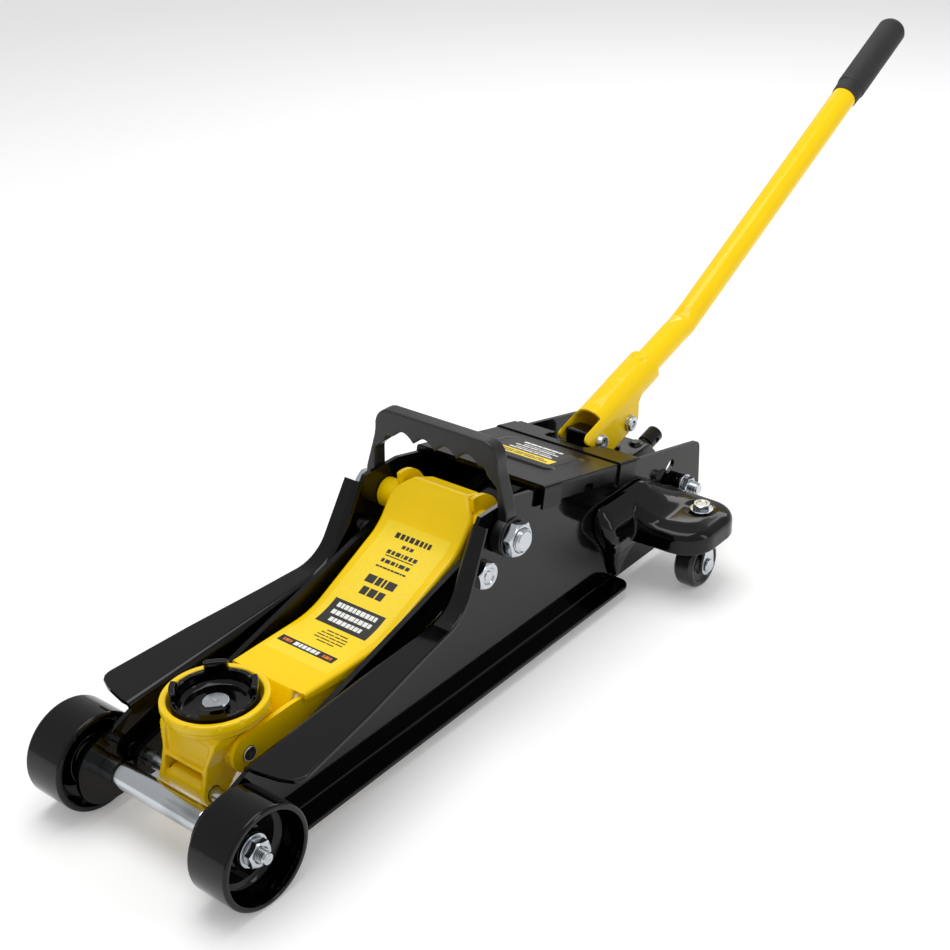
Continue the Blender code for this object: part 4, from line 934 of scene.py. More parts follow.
# ------------------------------------------------------------------ top cover
def build_top_cover(sizes):
    """Rear cover: a sloping sheet with folded skirts, end tabs, a raised panel and a notch."""
    low, high = spot("top_cover")
    start = low.y
    end = high.y
    wall = 2.5
    side_x = high.x - 1.0
    edge_line = [(y, plate_top(y) + GAP + wall) for y in (start, end)]
    radius = 3.2
    slope = math.cos(math.atan((edge_line[0][1] - edge_line[1][1]) / (end - start)))
    tab_x = high.x + 1.0
    skirts = ((start + 24.5, end - 31.5, side_x, 16, 0.0), (start + 1, start + 25.5, tab_x, 20, 1.2),
              (end - 32.5, end - 8, tab_x, 20, 1.2))
    top_half = side_x - 0.3
    top = swept(edge_line, lambda y: rounded(
        [(-top_half, 0, 1.2), (top_half, 0, 1.2), (top_half, wall, 0.5), (-top_half, wall, 0.5)], steps=4))
    cover = top
    for first, last, half, drop, proud in skirts:
        line = [(y, plate_top(y) + GAP + wall + proud) for y in (first, last)]
        cover = join(cover, swept(line, lambda y: channel(half, wall + 0.05, (drop + proud) * slope, radius)))
    centre_x = 2.0
    panel_low = (start + 36, end - 46)
    sections = []
    rise = sizes.panel_rise
    for step in range(7):
        share = step / 6
        inset = 7 * share
        lift = -0.5 + (rise + 0.5) * (share * share * (3 - 2 * share))
        outline = rounded([(centre_x - 46 + inset, panel_low[0] + inset, 9),
                           (centre_x + 46 - inset, panel_low[0] + inset, 9),
                           (centre_x + 46 - inset, panel_low[1] - inset, 9),
                           (centre_x - 46 + inset, panel_low[1] - inset, 9)],
                          steps=8)
        sections.append([(x, y, plate_top(y) + GAP + wall + lift) for x, y in outline])
    join(cover, loft(sections))
    notch = rounded([(-24, end - 22, 6), (24, end - 22, 6), (27, end + 9, 0), (-27, end + 9, 0)])
    drill(cover, prism(notch, "Z", 60, 200))
    slot_hole = hull([(430, 126.5, 3.6), (436, 125, 3.6)], 24)
    drill(cover, prism(slot_hole, "X", -90, 90))
    place(cover, "rear_cover", "chassis", ["top_cover"], "satin_black_enamel", crease=40)


# -------------------------------------------------------- casters and brackets
def wing_outline(edge, inset):
    """Plan shape of a bracket's wing: a straight front, and a broad round end about the caster bolt."""
    near = 6 - inset * 0.3
    return hull([(edge, CASTER_Y - 48, near), (edge, CASTER_Y + 20, near),
                 (CASTER_X - 1, CASTER_Y - 23, 29 - inset), (CASTER_X, CASTER_Y, 28 - inset)], 64)


def ring_of(outline, count):
    """The same closed outline with count points at even distances, from its lowest x on."""
    closed = outline + outline[:1]
    lengths = [math.dist(a, b) for a, b in zip(closed, closed[1:])]
    total = sum(lengths)
    points = []
    for step in range(count):
        goal = total * step / count
        for index, length in enumerate(lengths):
            if goal <= length or index == len(lengths) - 1:
                share = min(goal / length, 1.0) if length else 0.0
                points.append(tuple(a + (b - a) * share for a, b in zip(closed[index], closed[index + 1])))
                break
            goal -= length
    return points


def wing_shell(edge, grow, low, top, roll):
    """Domed solid of the bracket's wing: a straight skirt, a rolled shoulder and a crowned top."""
    levels = [(low, 0.0)]
    for step in range(9):
        turn = math.pi / 2 * step / 8
        levels.append((top - 2.5 - roll + roll * math.sin(turn), roll * (1 - math.cos(turn))))
    levels += [(top - 1.6, roll + 5), (top - 0.8, roll + 9), (top - 0.4, roll + 13)]
    return loft([[(x, y, z) for x, y in ring_of(wing_outline(edge, inset - grow), 96)] for z,
                 inset in levels])


def bracket_leg(face):
    """Rounded nose against the side plate, drawn down into a web that sweeps to the rail."""
    levels = ((77.5, -82, 4, -24), (76.6, -87, 8, -18), (74, -91.5, 13, -13), (70, -93, 16.5, -12),
              (65, -92, 18.5, -13), (60, -87, 18, -15), (54, -80, 14.5, -22), (46, -75, 11, -34),
              (36, -71.5, 8, -46), (26, -69, 6, -54), (18, -66, 5, -58))
    sections = []
    for z, front, out, rear in levels:
        soft = min(0.8 * out, 11.0)
        outline = rounded([(face, CASTER_Y + front, 0), (face + out, CASTER_Y + front, soft),
                           (face + out, CASTER_Y + rear, 0.6 * soft), (face, CASTER_Y + rear, 0)], steps=6)
        sections.append([(x, y, z) for x, y in outline])
    return loft(sections)


def bracket_lift(x, y, face):
    """How much higher the drawn top stands near the side plate than around the bolt."""
    return 21.0 * (1 - eased(x, face - 6, face + 40)) * (1 - eased(y, CASTER_Y - 20, CASTER_Y + 30))


def build_caster_brackets():
    """Deep-drawn brackets: a domed wing, a nose against the plate and a web down to the rail."""
    face = PLATE_OUT + GAP
    top = WING_TOP
    floor = top - BOLT_RECESS
    centre = (CASTER_X, CASTER_Y)
    for side, sign in SIDES:
        bracket = wing_shell(face + 6, 0, top - 23, top, 8)
        drill(bracket, wing_shell(face - 14, -3.5, top - 40, top - 3.5, 7))
        back = prism(rounded([(CASTER_Y + y, z, radius) for y, z, radius in (
            (-80, 75, 6), (-17, 76, 8), (23, 70, 6), (23, 52, 4), (-70, 50, 6))]), "X", face, face + 3.5)
        join(bracket, back, bracket_leg(face))
        recess = turned(rounded([(floor, 0, 0), (floor, 12.5, 2), (top + 0.5, 18.5, 2), (top + 3, 23, 0),
                                 (top + 3, 0, 0)], closed=False, steps=6), "Z", centre, 64)
        drill(bracket, cutter("Z", centre, 5.6, 40, 90), recess)
        softened(bracket, 0.9, 10)
        for vertex in bracket.data.vertices:
            x, y, z = vertex.co
            vertex.co.z += bracket_lift(x, y, face) * eased(z, 52, 78)
        place(mirrored(bracket, sign), f"bracket_{side}", "chassis", [f"caster_bracket_{side}"],
              "gloss_black_enamel", crease=70)


def build_casters():
    """Swivel bolt, two-cheeked fork, riveted axle and shallow-dished wheel, on each side."""
    fork_top = pivot_of("caster_swivel_left")[1]
    centre = (CASTER_X, CASTER_Y)
    bolt_low, bolt_high = spot("caster_bolt_left")
    axle_low, axle_high = spot("caster_axle_left")
    seat = WING_TOP - BOLT_RECESS + GAP
    for side, sign in SIDES:
        profile = rounded([(bolt_low.z, 0, 0), (bolt_low.z, 5, 0.8), (seat, 5, 0), (seat, 10.6, 0.5),
                           (seat + 1.6, 10.6, 0.5), (seat + 1.6, 0, 0)], closed=False, steps=3)
        bolt = turned(profile, "Z", centre, 64)
        top = bolt_high.z
        head = hexagon("Z", centre, 14.5, seat + 1.4, top, turn=0.35)
        drill(head, turned([(top - 0.7, 0), (top - 0.7, 4.2), (top + 1, 6.2), (top + 1, 0)], "Z", centre, 40))
        join(bolt, head, hexagon("Z", centre, 15, bolt_low.z + 0.8, bolt_low.z + 5))
        place(mirrored(bolt, sign), f"swivel_bolt_{side}", "chassis", [f"caster_bolt_{side}"],
              "bright_zinc_plate")

        axle_y, axle_z = CASTER_AXLE
        plate = washer("Z", centre, 5.3, 16, fork_top - 2.5, fork_top, 0.5)
        race = washer("Z", centre, 6, 11, fork_top - 1, fork_top + 3.2 - GAP, 0.8)
        join(plate, race)
        outline = rounded([(axle_y - 9.4, axle_z - 9.4, 9.3), (axle_y + 9.4, axle_z - 9.4, 9.3),
                           (axle_y + 9.4, axle_z + 5, 7), (CASTER_Y - 1, axle_z + 19, 8),
                           (CASTER_Y + 11, fork_top - 6, 3), (CASTER_Y + 11, fork_top - 1, 0),
                           (CASTER_Y - 13, fork_top - 1, 0), (CASTER_Y - 13, fork_top - 6, 3),
                           (axle_y - 3, axle_z + 19, 8), (axle_y - 9.4, axle_z + 5, 7)], steps=6)
        for inner in (CASTER_X - 13.4, CASTER_X + 11.2):
            join(plate, prism(outline, "X", inner, inner + 2.2, 0.4, 2))
        drill(plate, cutter("X", CASTER_AXLE, 4.3, CASTER_X - 28, CASTER_X + 28))
        place(mirrored(plate, sign), f"fork_{side}", f"caster_swivel_{side}", [f"caster_fork_{side}"],
              "bright_zinc_plate")
        axle = bar("X", CASTER_AXLE, 4, axle_low.x + 1, axle_high.x - 1)
        for low, high in ((axle_low.x, axle_low.x + 2.2), (axle_high.x - 2.2, axle_high.x)):
            join(axle, bar("X", CASTER_AXLE, 6.5, low, high, 1.0))
        place(mirrored(axle, sign), f"fork_rivet_{side}", f"caster_swivel_{side}", [f"caster_axle_{side}"],
              "bright_zinc_plate")

        half = 10.0
        radius = axle_z
        corners = [(-half + 0.6, 4.3, 0), (-half + 0.6, 9, 0.8), (-half + 3.4, 10.5, 0.8),
                   (-half + 3.4, 16, 1.5),
                   (-half + 0.4, 18.4, 0.8), (-half + 0.2, radius - 3, 1), (-half + 3.2, radius, 3)]
        corners += [(-along, size, soft) for along, size, soft in reversed(corners)]
        profile = [(CASTER_X + along, size) for along, size in rounded(corners, steps=4)]
        wheel = turned(profile, "X", CASTER_AXLE, 96, closed=True)
        place(mirrored(wheel, sign), f"caster_tyre_{side}", f"caster_wheel_{side}", [f"caster_wheel_{side}"],
              "caster_polyurethane")


# ------------------------------------------------------------------ lift arm
COVER_WALL = 3.0
ARM_WALL = 4.0
CHEEK_INSET = COVER_WALL + GAP
COVER_FRONT = 112.7
COVER_REAR = 303.0
COVER_FRONT_HALF = 39.4
COVER_REAR_HALF = 44.3


def arm_half(y):
    """Half width of the tapering lift arm cover."""
    taper = (COVER_REAR_HALF - COVER_FRONT_HALF) / (COVER_REAR - COVER_FRONT)
    return COVER_FRONT_HALF + taper * (y - COVER_FRONT)


def cover_line(drop=0.0):
    """Side view of the arm cover's top face, lowered by drop."""
    corners = [(109, 84, 0), (196, 83, 80), (285, 122, 50), (308, 151, 8), (317, 157, 6), (336, 150, 0)]
    return rounded([(y, z - drop, radius) for y, z, radius in corners], closed=False, steps=12)


def cover_half(y):
    """Half width of the cover with its narrow front tongue, notched corners and chamfered rear."""
    return between(y, (90, 109, 109.4, 110.5, COVER_REAR, 316, 336),
                   (29, 29, arm_half(109) - 3, arm_half(110.5), COVER_REAR_HALF, 31, 27))


def build_arm_cover():
    """Pressed top of the lifting arm, which dips behind the saddle and rises to the shaft."""
    line = [(90, 62), (97, 70), (104, 78), (107.5, 82.4), (109, 83.8)] + spread(cover_line(), 5)[1:]
    line = sorted(set(line + [(109.4, 84.0), (110.5, 84.0)]))
    line = [point for index, point in enumerate(line) if index == 0 or math.dist(point,
                                                                                 line[index - 1]) > 0.3]

    def profile(y):
        """Folded section of the cover, with its sides deepest at mid length."""
        fold = COVER_WALL + between(y, (109, 111, 150, 276, 290), (0.6, 3.0, 5.5, 6.5, 0.6))
        return channel(cover_half(y), COVER_WALL, fold, 3.4)

    cover = swept(line, profile)
    place(cover, "arm_top", "lift_arm", ["arm_cover"], "safety_yellow_enamel", crease=40)


def build_arm_cheeks():
    """Side members of the arm, cut from plate, each with a lobe and a boss at the shaft."""
    ram_pin = middle_of("ram_pin")
    for side, sign in SIDES:
        beam = rounded([(40, 47, 14.5), (40, 77, 14.5), (104, 80, 20), (196, 79, 80), (290, 121, 50),
                        (330, 156, 8), (334, 112, 10), (262, 74, 60), (190, 46, 60)], steps=12)
        cheek = prism(beam, "X", -ARM_WALL, 0, 0.7, 2)
        lobe = prism(hull([(*ARM_PIVOT, 26), (*ram_pin, 13)], 64), "X", -ARM_WALL, 0, 0.7, 2)
        join(cheek, lobe)
        above = cover_line(CHEEK_INSET + 1)
        clear = [point for point in above if point[0] < 306] + [(310.5, 145), (310.5, 200), (100, 200)]
        drill(cheek, prism([(100, above[0][1])] + clear, "X", -20, 20))
        for vertex in cheek.data.vertices:
            vertex.co.x += arm_half(vertex.co.y) - CHEEK_INSET
        face = arm_half(ARM_PIVOT[0]) - CHEEK_INSET
        join(cheek, bar("X", ARM_PIVOT, 13, face - 1, PLATE_IN - GAP, 1.0, 64))
        for centre, radius in ((ARM_PIVOT, 10), (SADDLE_PIVOT, 6), (ram_pin, 7)):
            drill(cheek, cutter("X", centre, radius + GAP, 20, 70))
        place(mirrored(cheek, sign), f"cheek_{side}", "lift_arm", [f"arm_cheek_{side}"],
              "safety_yellow_enamel")


def build_link_bars():
    """Flat bars with round ends."""
    low, high = spot("link_bar_left")
    for side, sign in SIDES:
        plate = prism(hull([(*LINK_PIVOT, 11), (*LINK_PIN, 11)], 64), "X", low.x, high.x, 0.8, 2)
        for centre in (LINK_PIVOT, LINK_PIN):
            drill(plate, cutter("X", centre, 6 + GAP, low.x - 3, high.x + 3))
        place(mirrored(plate, sign), f"level_link_{side}", f"link_{side}", [f"link_bar_{side}"],
              "satin_black_enamel")


# -------------------------------------------------------------------- saddle
def build_saddle(sizes):
    """Waisted casting with a ringed bowl on top, a cross tube below, and the pad's bolt."""
    floor = SADDLE_TOP - 14
    side_view = hull([(*SADDLE_PIVOT, 12), (33, 78, 5), (82, 78, 5), (*LINK_PIN, 10)], 64)
    block = prism(side_view, "X", -31, 31)
    front_view = rounded([(-30, 92, 4), (30, 92, 4), (29, 76, 8), (24, 62, 14), (24.5, 42, 10), (28, 26, 3),
                          (-28, 26, 3), (-24.5, 42, 10), (-24, 62, 14), (-29, 76, 8)], steps=6)
    combine(block, prism(front_view, "Y", 0, 120), "INTERSECT")
    lip = 41.0
    bowl = rounded([(floor - 9, 0, 0), (floor - 9, 26, 3), (floor - 4, 32, 4), (floor + 1.5, 38.4, 2),
                    (floor + 5.5, 38.8, 1.5), (floor + 6.8, lip, 1.2), (SADDLE_TOP, lip, 1.6),
                    (SADDLE_TOP, 35.6, 1.4), (floor + 2, 34.6, 1.5), (floor, 32.5, 1), (floor, 0, 0)],
                   closed=False, steps=5)
    hub = bar("X", SADDLE_PIVOT, 13.5, -29, 29, 2.0, 64)
    join(block, turned(bowl, "Z", (0, SADDLE_Y), 96), hub)
    window = prism(rounded([(-17.5, 18, 0), (17.5, 18, 0), (20.5, 56, 2), (-20.5, 56, 2)]), "Y", 0, 41)
    drill(block, window)
    run = Vector((78 - 34, 28.2 - 20.5)).normalized()
    press = prism(rounded([(-20, 59, 2), (20, 59, 2), (24.5, 79, 2.5), (-24.5, 79, 2.5)]), "Y", -3, 1.5)
    for vertex in press.data.vertices:
        vertex.co.y += 20.5 + (vertex.co.z - 34) * run.y / run.x
    drill(block, press)
    for centre in (SADDLE_PIVOT, LINK_PIN):
        drill(block, cutter("X", centre, 6.4, -60, 60))
    drill(block, cutter("Z", (0, SADDLE_Y), 6.4, 70, 100))
    tube = bar("X", (LINK_PIN[0] + 1, LINK_PIN[1]), 9.6, -17.5, 17.5, 1.0, 48)
    drill(tube, cutter("X", LINK_PIN, 6.4, -30, 30))
    join(block, tube)
    for turn, depth in ((-100, 0.7), (-72, 0.9), (-38, 0.6), (-15, 0.8), (130, 0.6)):
        angle = math.radians(turn)
        nick = turned([(SADDLE_TOP - 4.5, 0), (SADDLE_TOP - 3, 1.6), (SADDLE_TOP + 1, 1.9),
                       (SADDLE_TOP + 1, 0)],
                      "Z", ((lip + 1.2 - depth) * math.cos(angle),
                            SADDLE_Y + (lip + 1.2 - depth) * math.sin(angle)), 16)
        drill(block, nick)
    softened(block, sizes.cast_grid, 3)
    place(block, "saddle_casting", "saddle", ["saddle_support"], "yellow_cast_enamel", crease=70)

    low, high = spot("saddle_bolt")
    head = high.z - 3.3
    profile = rounded([(low.z, 0, 0), (low.z, 6, 0.8), (head, 6, 0), (head, 10.5, 0.6), (high.z, 10.3, 1.0),
                       (high.z, 2.2, 0), (high.z - 0.6, 1.6, 0), (high.z - 0.8, 0, 0)], closed=False, steps=4)
    place(turned(profile, "Z", (0, SADDLE_Y), 72), "pad_bolt", "saddle", ["saddle_bolt"], "bright_zinc_plate")


def build_saddle_pad():
    """Shallow cup with four tall lugs and four low lips between them."""
    low, high = spot("saddle_pad")
    floor = low.z
    rim = SADDLE_TOP + 1.5
    reach = (high.x - low.x) / 2
    corners = [(floor, 6.6, 0), (floor, reach - 4, 2), (floor + 3, reach, 1), (rim, reach, 0.8),
               (rim, reach - 3.6, 1.2), (floor + 6.5, reach - 4.6, 1), (floor + 4.2, reach - 8, 2),
               (floor + 3.2, 13, 1), (floor + 3.6, 6.6, 0)]
    pad = turned(rounded(corners, steps=4), "Z", (0, SADDLE_Y), 96, closed=True)
    # Bearing and half width in degrees, outer and inner distance from the rim's edge, foot, top, rounding.
    lug = (45, 17, 0.3, 5.0, rim - 7, PAD_TOP, 0.9)
    lip = (90, 12, 0.4, 4.4, rim - 6, rim + 0.4, 0.8)
    for quarter in range(4):
        for bearing, half, outer, inner, foot, top, edge in (lug, lip):
            outline = []
            for size, steps in ((reach - outer, range(-6, 7)), (reach - inner, range(6, -7, -1))):
                for step in steps:
                    angle = math.radians(bearing + 90 * quarter + half * step / 6)
                    outline.append((size * math.cos(angle), SADDLE_Y + size * math.sin(angle)))
            join(pad, prism(outline, "Z", foot, top, edge, 2))
    softened(pad, 0.7, 2)
    place(pad, "pad_cup", "saddle_pad", ["saddle_pad"], "gloss_black_enamel", crease=70)


# ---------------------------------------------------------------- hydraulics
def build_ram():
    """Slotted head that pushes on the arm's pin, and the rod with its grooved piston."""
    head_low, head_high = spot("ram_head")
    rod_low, rod_high = spot("piston_rod")
    ram_z = (rod_low.z + rod_high.z) / 2
    back = head_high.y
    pin_y = spot("ram_pin")[0].y / 2 + spot("ram_pin")[1].y / 2
    head = prism(rounded([(head_low.y, ram_z - 18, 8), (back, ram_z - 14, 3), (back, ram_z + 16, 3),
                          (head_low.y, ram_z + 16, 8)]), "X", -13, 13)
    bar_low = [(head_low.x, ram_z - 10), (head_high.x, ram_z - 10), (head_high.x, ram_z), (head_low.x, ram_z)]
    crossbar = prism(bar_low, "Y", back - 8, back)
    slot_shape = prism(hull([(pin_y, ram_z - 4, 7.6), (pin_y, ram_z + 4.5, 7.6)], 48), "X", -20, 20)
    drill(join(head, crossbar), slot_shape)
    softened(head, 0.8, 3)
    place(head, "push_head", "ram", ["ram_head"], "phosphated_steel", crease=70)

    piston = rod_high.y - 12
    crown = (rod_high.x - rod_low.x) / 2
    profile = rounded([(rod_low.y, 0, 0), (rod_low.y, 10, 1), (piston, 10, 0), (piston, crown, 0.8),
                       (piston + 4, crown, 0.4), (piston + 4, crown - 2, 0.4), (piston + 8, crown - 2, 0.4),
                       (piston + 8, crown, 0.4), (rod_high.y, crown, 0.8), (rod_high.y, 0, 0)],
                      closed=False, steps=3)
    place(turned(profile, "Y", (0, ram_z), 72), "chromed_rod", "ram", ["piston_rod"], "ground_steel")


def build_cylinder():
    """Plain tube with a thicker foot, and the gland nut that closes its front."""
    low, high = spot("hydraulic_cylinder")
    ram_z = (low.z + high.z) / 2
    outer = high.x
    bore = outer - 5 + GAP
    profile = rounded([(low.y, bore, 0), (low.y, outer, 1), (high.y - 9, outer, 0),
                       (high.y - 3, outer + 2.5, 2),
                       (high.y, outer + 2.5, 0), (high.y, bore, 0)], steps=4)
    place(turned(profile, "Y", (0, ram_z), 72, closed=True), "cylinder_tube", "chassis",
          ["hydraulic_cylinder"], "satin_black_enamel")
    low, high = spot("cylinder_gland")
    step = high.y - 14 - GAP
    neck = bore - 2 * GAP
    profile = rounded([(low.y, 10.3, 0.5), (low.y, outer - 2, 1.5), (low.y + 5, outer - 2, 0.6),
                       (low.y + 6, outer + 1, 0.8),
                       (step, outer + 1, 0.8), (step, neck, 0), (high.y, neck, 0.5), (high.y, 10.3, 0.5)],
                      steps=4)
    gland = turned(profile, "Y", (0, ram_z), 72, closed=True)
    for hole in range(4):
        angle = math.radians(45 + 90 * hole)
        drill(gland, cutter("Y", (17 * math.cos(angle), ram_z + 17 * math.sin(angle)), 2.2, low.y - 2,
                            low.y + 4, 20))
    place(gland, "gland_nut", "chassis", ["cylinder_gland"], "bright_zinc_plate")


def build_springs(sizes):
    """Two springs that pull the ram back, and the plunger's, each wound over the length of its frame node."""
    wire = sizes.spring_wire
    for side, sign in SIDES:
        low, high = spot("return_spring_left")
        centre = ((low.x + high.x) / 2, (low.z + high.z) / 2)
        radius = (high.x - low.x) / 2 - wire / 2
        spring = coil("Y", centre, radius, wire, low.y, high.y, 44)
        place(mirrored(spring, sign), f"return_coil_{side}", "chassis", [f"return_spring_{side}"],
              "spring_steel")
        stretch(spring)
    low, high = spot("plunger_spring")
    radius = (high.x - low.x) / 2 - wire / 2
    spring = coil("Z", (0, PLUNGER_Y), radius, wire, low.z, high.z, 4)
    place(spring, "plunger_coil", "chassis", ["plunger_spring"], "spring_steel")
    stretch(spring)


def stretch(spring):
    """Take a spring off its body, with its place baked into its mesh."""
    spring.parent = None
    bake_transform(spring)


def build_pump_block(sizes):
    """Cast block: a lug for the handle, ears for the frame, and bores for pump and valve."""
    low, high = spot("pump_block")
    front = low.y
    rear = high.y
    half = 30.0
    base = 40.0
    top = 94.0
    block = prism(rounded([(front, base, 3), (rear - 10, base, 4), (rear, 52, 4), (rear, 78, 4),
                           (586, top, 4),
                           (front, top, 3)]), "X", -half, half)
    ears = prism(rounded([(front + 1, 52, 2), (front + 14, 52, 2), (front + 14, 84, 2), (front + 1, 84, 2)]),
                 "X", low.x, high.x)
    pivot_y, pivot_z = SOCKET_PIVOT
    lug = prism(rounded([(pivot_y - 13, top - 8, 0), (pivot_y + 13, top - 8, 0),
                         (pivot_y + 13, pivot_z + 9, 6),
                         (pivot_y - 13, pivot_z + 13, 2)]), "X", -11.8, 11.8)
    join(block, ears, lug, cutter("Z", (19, rear - 22), 6, top - 3, top + 3, 6),
         cutter("Z", (-19, rear - 22), 6, top - 3, top + 3, 6))
    drill(block, cutter("X", SOCKET_PIVOT, 5.3, -30, 30), cutter("X", TIE_ROD, 6.3, -40, 40),
          cutter("Z", (0, PLUNGER_Y), 8.4, 46, 120),
          tilted(cutter("Y", (0, VALVE_Z), 5.4, 588, 640), VALVE_TILT, (rear, VALVE_Z)))
    softened(block, sizes.cast_grid, 3)
    place(block, "valve_block", "chassis", ["pump_block"], "black_cast_enamel", crease=70)


def build_plunger():
    """Ground pin with a wide cap, on which the roller presses."""
    low, high = spot("pump_plunger")
    cap = (high.x - low.x) / 2
    profile = rounded([(low.z, 0, 0), (low.z, 8, 1), (high.z - 4, 8, 0), (high.z - 4, cap, 0.6),
                       (high.z, cap, 1.2), (high.z, 0, 0)], closed=False, steps=4)
    place(turned(profile, "Z", (0, PLUNGER_Y), 64), "plunger_rod", "plunger", ["pump_plunger"],
          "ground_steel")


def build_release_valve():
    """Lowering valve: a stem with a flatted collar, a waist, and a knuckle with a cross hole for a turning
    bar.
    """
    pivot = (spot("pump_block")[1].y, VALVE_Z)
    axis = (0, VALVE_Z)
    profile = rounded([(590, 0, 0), (590, 5, 0.5), (604, 5, 0), (604, 9, 1), (612, 9, 1), (618, 6.5, 1),
                       (624, 6.5, 1), (624, 8.5, 1), (643.5, 8.5, 1.5), (643.5, 0, 0)], closed=False, steps=4)
    valve = turned(profile, "Y", axis, 64)
    drill(valve, prism([(8.7, 40), (14, 40), (14, 90), (8.7, 90)], "Y", 603, 612.5))
    drill(valve, cutter("X", (634, VALVE_Z), 2.6, -20, 20, 32))
    place(tilted(valve, VALVE_TILT, pivot), "valve_stem", "release_valve", ["release_valve"],
          "black_cast_enamel")


# ------------------------------------------------------------------- handle
def to_socket(made):
    """Move a piece drawn along +Y from the origin onto the socket's axis and rest angle."""
    made.data.transform(Matrix.Translation((0, *SOCKET_PIVOT)))
    return tilted(made, HANDLE_REST, SOCKET_PIVOT)


SOCKET_HALF = 17.3
SOCKET_LENGTH = 104.0
ROLLER_AT = (46.0, -13.0)
BEND_AT = 178.0
BEND_ANGLE = math.radians(9.3)
HANDLE_REACH = 463.0


def arch(half, foot):
    """Section of the folded sheet: a half-round crown over two straight cheeks."""
    crown = 26
    points = [(half, foot)]
    for step in range(crown + 1):
        turn = math.pi * step / crown
        points.append((half * math.cos(turn), TUBE_LIFT + half * math.sin(turn)))
    return points + [(-half, foot)]


def build_handle_socket(sizes):
    """Folded sheet that grows into a tube, pinched at its crown and its rim, with a lock tab."""
    crown = TUBE_LIFT + SOCKET_HALF + 1
    outline = rounded([(-20, 14, 5), (-14, TUBE_LIFT + 10, 6), (2, crown, 5), (SOCKET_LENGTH - 30, crown, 0),
                       (SOCKET_LENGTH - 30, TUBE_LIFT - 6, 4), (66, -4, 8), (60, -22, 8), (40, -23, 8),
                       (8, -23, 4)])
    socket = prism(arch(SOCKET_HALF, -40), "Y", -30, SOCKET_LENGTH - 20)
    combine(socket, prism(outline, "X", -30, 30), "INTERSECT")
    axis = (0, TUBE_LIFT)
    join(socket, cutter("Y", axis, SOCKET_HALF + 0.3, 61, SOCKET_LENGTH, 72))
    inner = SOCKET_HALF - 3
    drill(socket, prism(arch(inner, -50), "Y", -40, 64),
          prism(rounded([(-13.4, 0, 0), (13.4, 0, 0), (13.4, 40, 0), (-13.4, 40, 0)]), "Y", -40, 12),
          cutter("Y", axis, 13.3, 58, SOCKET_LENGTH + 5, 64),
          cutter("X", (0, 0), 5.3, -40, 40), cutter("X", ROLLER_AT, 5.3, -40, 40))
    softened(socket, sizes.press_grid, 3)
    dent(socket, (4.0, 22.0, TUBE_LIFT + SOCKET_HALF), (3.2, 6.0, 6.0), 1.6)
    for across in (-5.5, 7.5):
        dent(socket, (across, SOCKET_LENGTH - 10, TUBE_LIFT + math.sqrt(SOCKET_HALF ** 2 - across ** 2)),
             (2.6, 4.0, 5.0), 1.5)
    place(to_socket(socket), "socket_sheet", "handle", ["handle_socket"], "safety_yellow_enamel", crease=70)

    tab = hull([(80, -8.5, 4), (74, -13.0, 5.5)], 24)
    lock = prism(tab, "X", -2, 2, 0.6, 2)
    screw = bar("X", (74.5, -12.6), 3.4, -6, 7, 0.8)
    place(to_socket(join(lock, screw)), "lock_tab", "handle", [], "safety_yellow_enamel")


def dent(made, centre, spans, depth):
    """Press a small hollow into a skin, towards the piece's axis, around a centre."""
    middle = Vector(centre)
    inward = Vector((-centre[0], 0, TUBE_LIFT - centre[2])).normalized()
    for vertex in made.data.vertices:
        away = vertex.co - middle
        share = sum((away[axis] / spans[axis]) ** 2 for axis in range(3))
        if share < 6:
            vertex.co += inward * depth * math.exp(-share * 1.2)


def tube_path():
    """Centre line of the bent tube as (along, across) the socket's axis, from foot to end."""
    bend_radius = 120.0
    reach = bend_radius * math.tan(BEND_ANGLE / 2)
    path = [(66.0, TUBE_LIFT)]
    for step in range(17):
        turn = BEND_ANGLE * step / 16
        path.append((BEND_AT - reach + bend_radius * math.sin(turn),
                     TUBE_LIFT + bend_radius * (1 - math.cos(turn))))
    end = (BEND_AT + HANDLE_REACH * math.cos(BEND_ANGLE), TUBE_LIFT + HANDLE_REACH * math.sin(BEND_ANGLE))
    return path, end


def build_handle_tube():
    """Bent tube, flattened a little on the inside of its bend."""
    path, end = tube_path()
    line = spread(path, 4) + [end]
    radius = 13.0
    sides = 72
    sections = []
    for index, (along, across) in enumerate(line):
        run = run_of(line, index) if index < len(line) - 1 else Vector((math.cos(BEND_ANGLE),
                                                                        math.sin(BEND_ANGLE)))
        crimp = math.exp(-((along - BEND_AT + 4) / 9.0) ** 2)
        section = []
        for step in range(sides):
            turn = 2 * math.pi * step / sides
            flat = crimp * max(math.sin(turn), 0.0) ** 3 * 3.2
            bulge = crimp * abs(math.cos(turn)) ** 3 * 0.9
            size = radius - flat + bulge
            lift = size * math.sin(turn)
            section.append((size * math.cos(turn), along - run.y * lift, across + run.x * lift))
        sections.append(section)
    tube = loft(sections)
    drill(tube, cutter("Y", (0, TUBE_LIFT), 11, 61, BEND_AT - 20, 48))
    place(to_socket(tube), "bent_tube", "handle", ["handle_tube"], "safety_yellow_enamel")


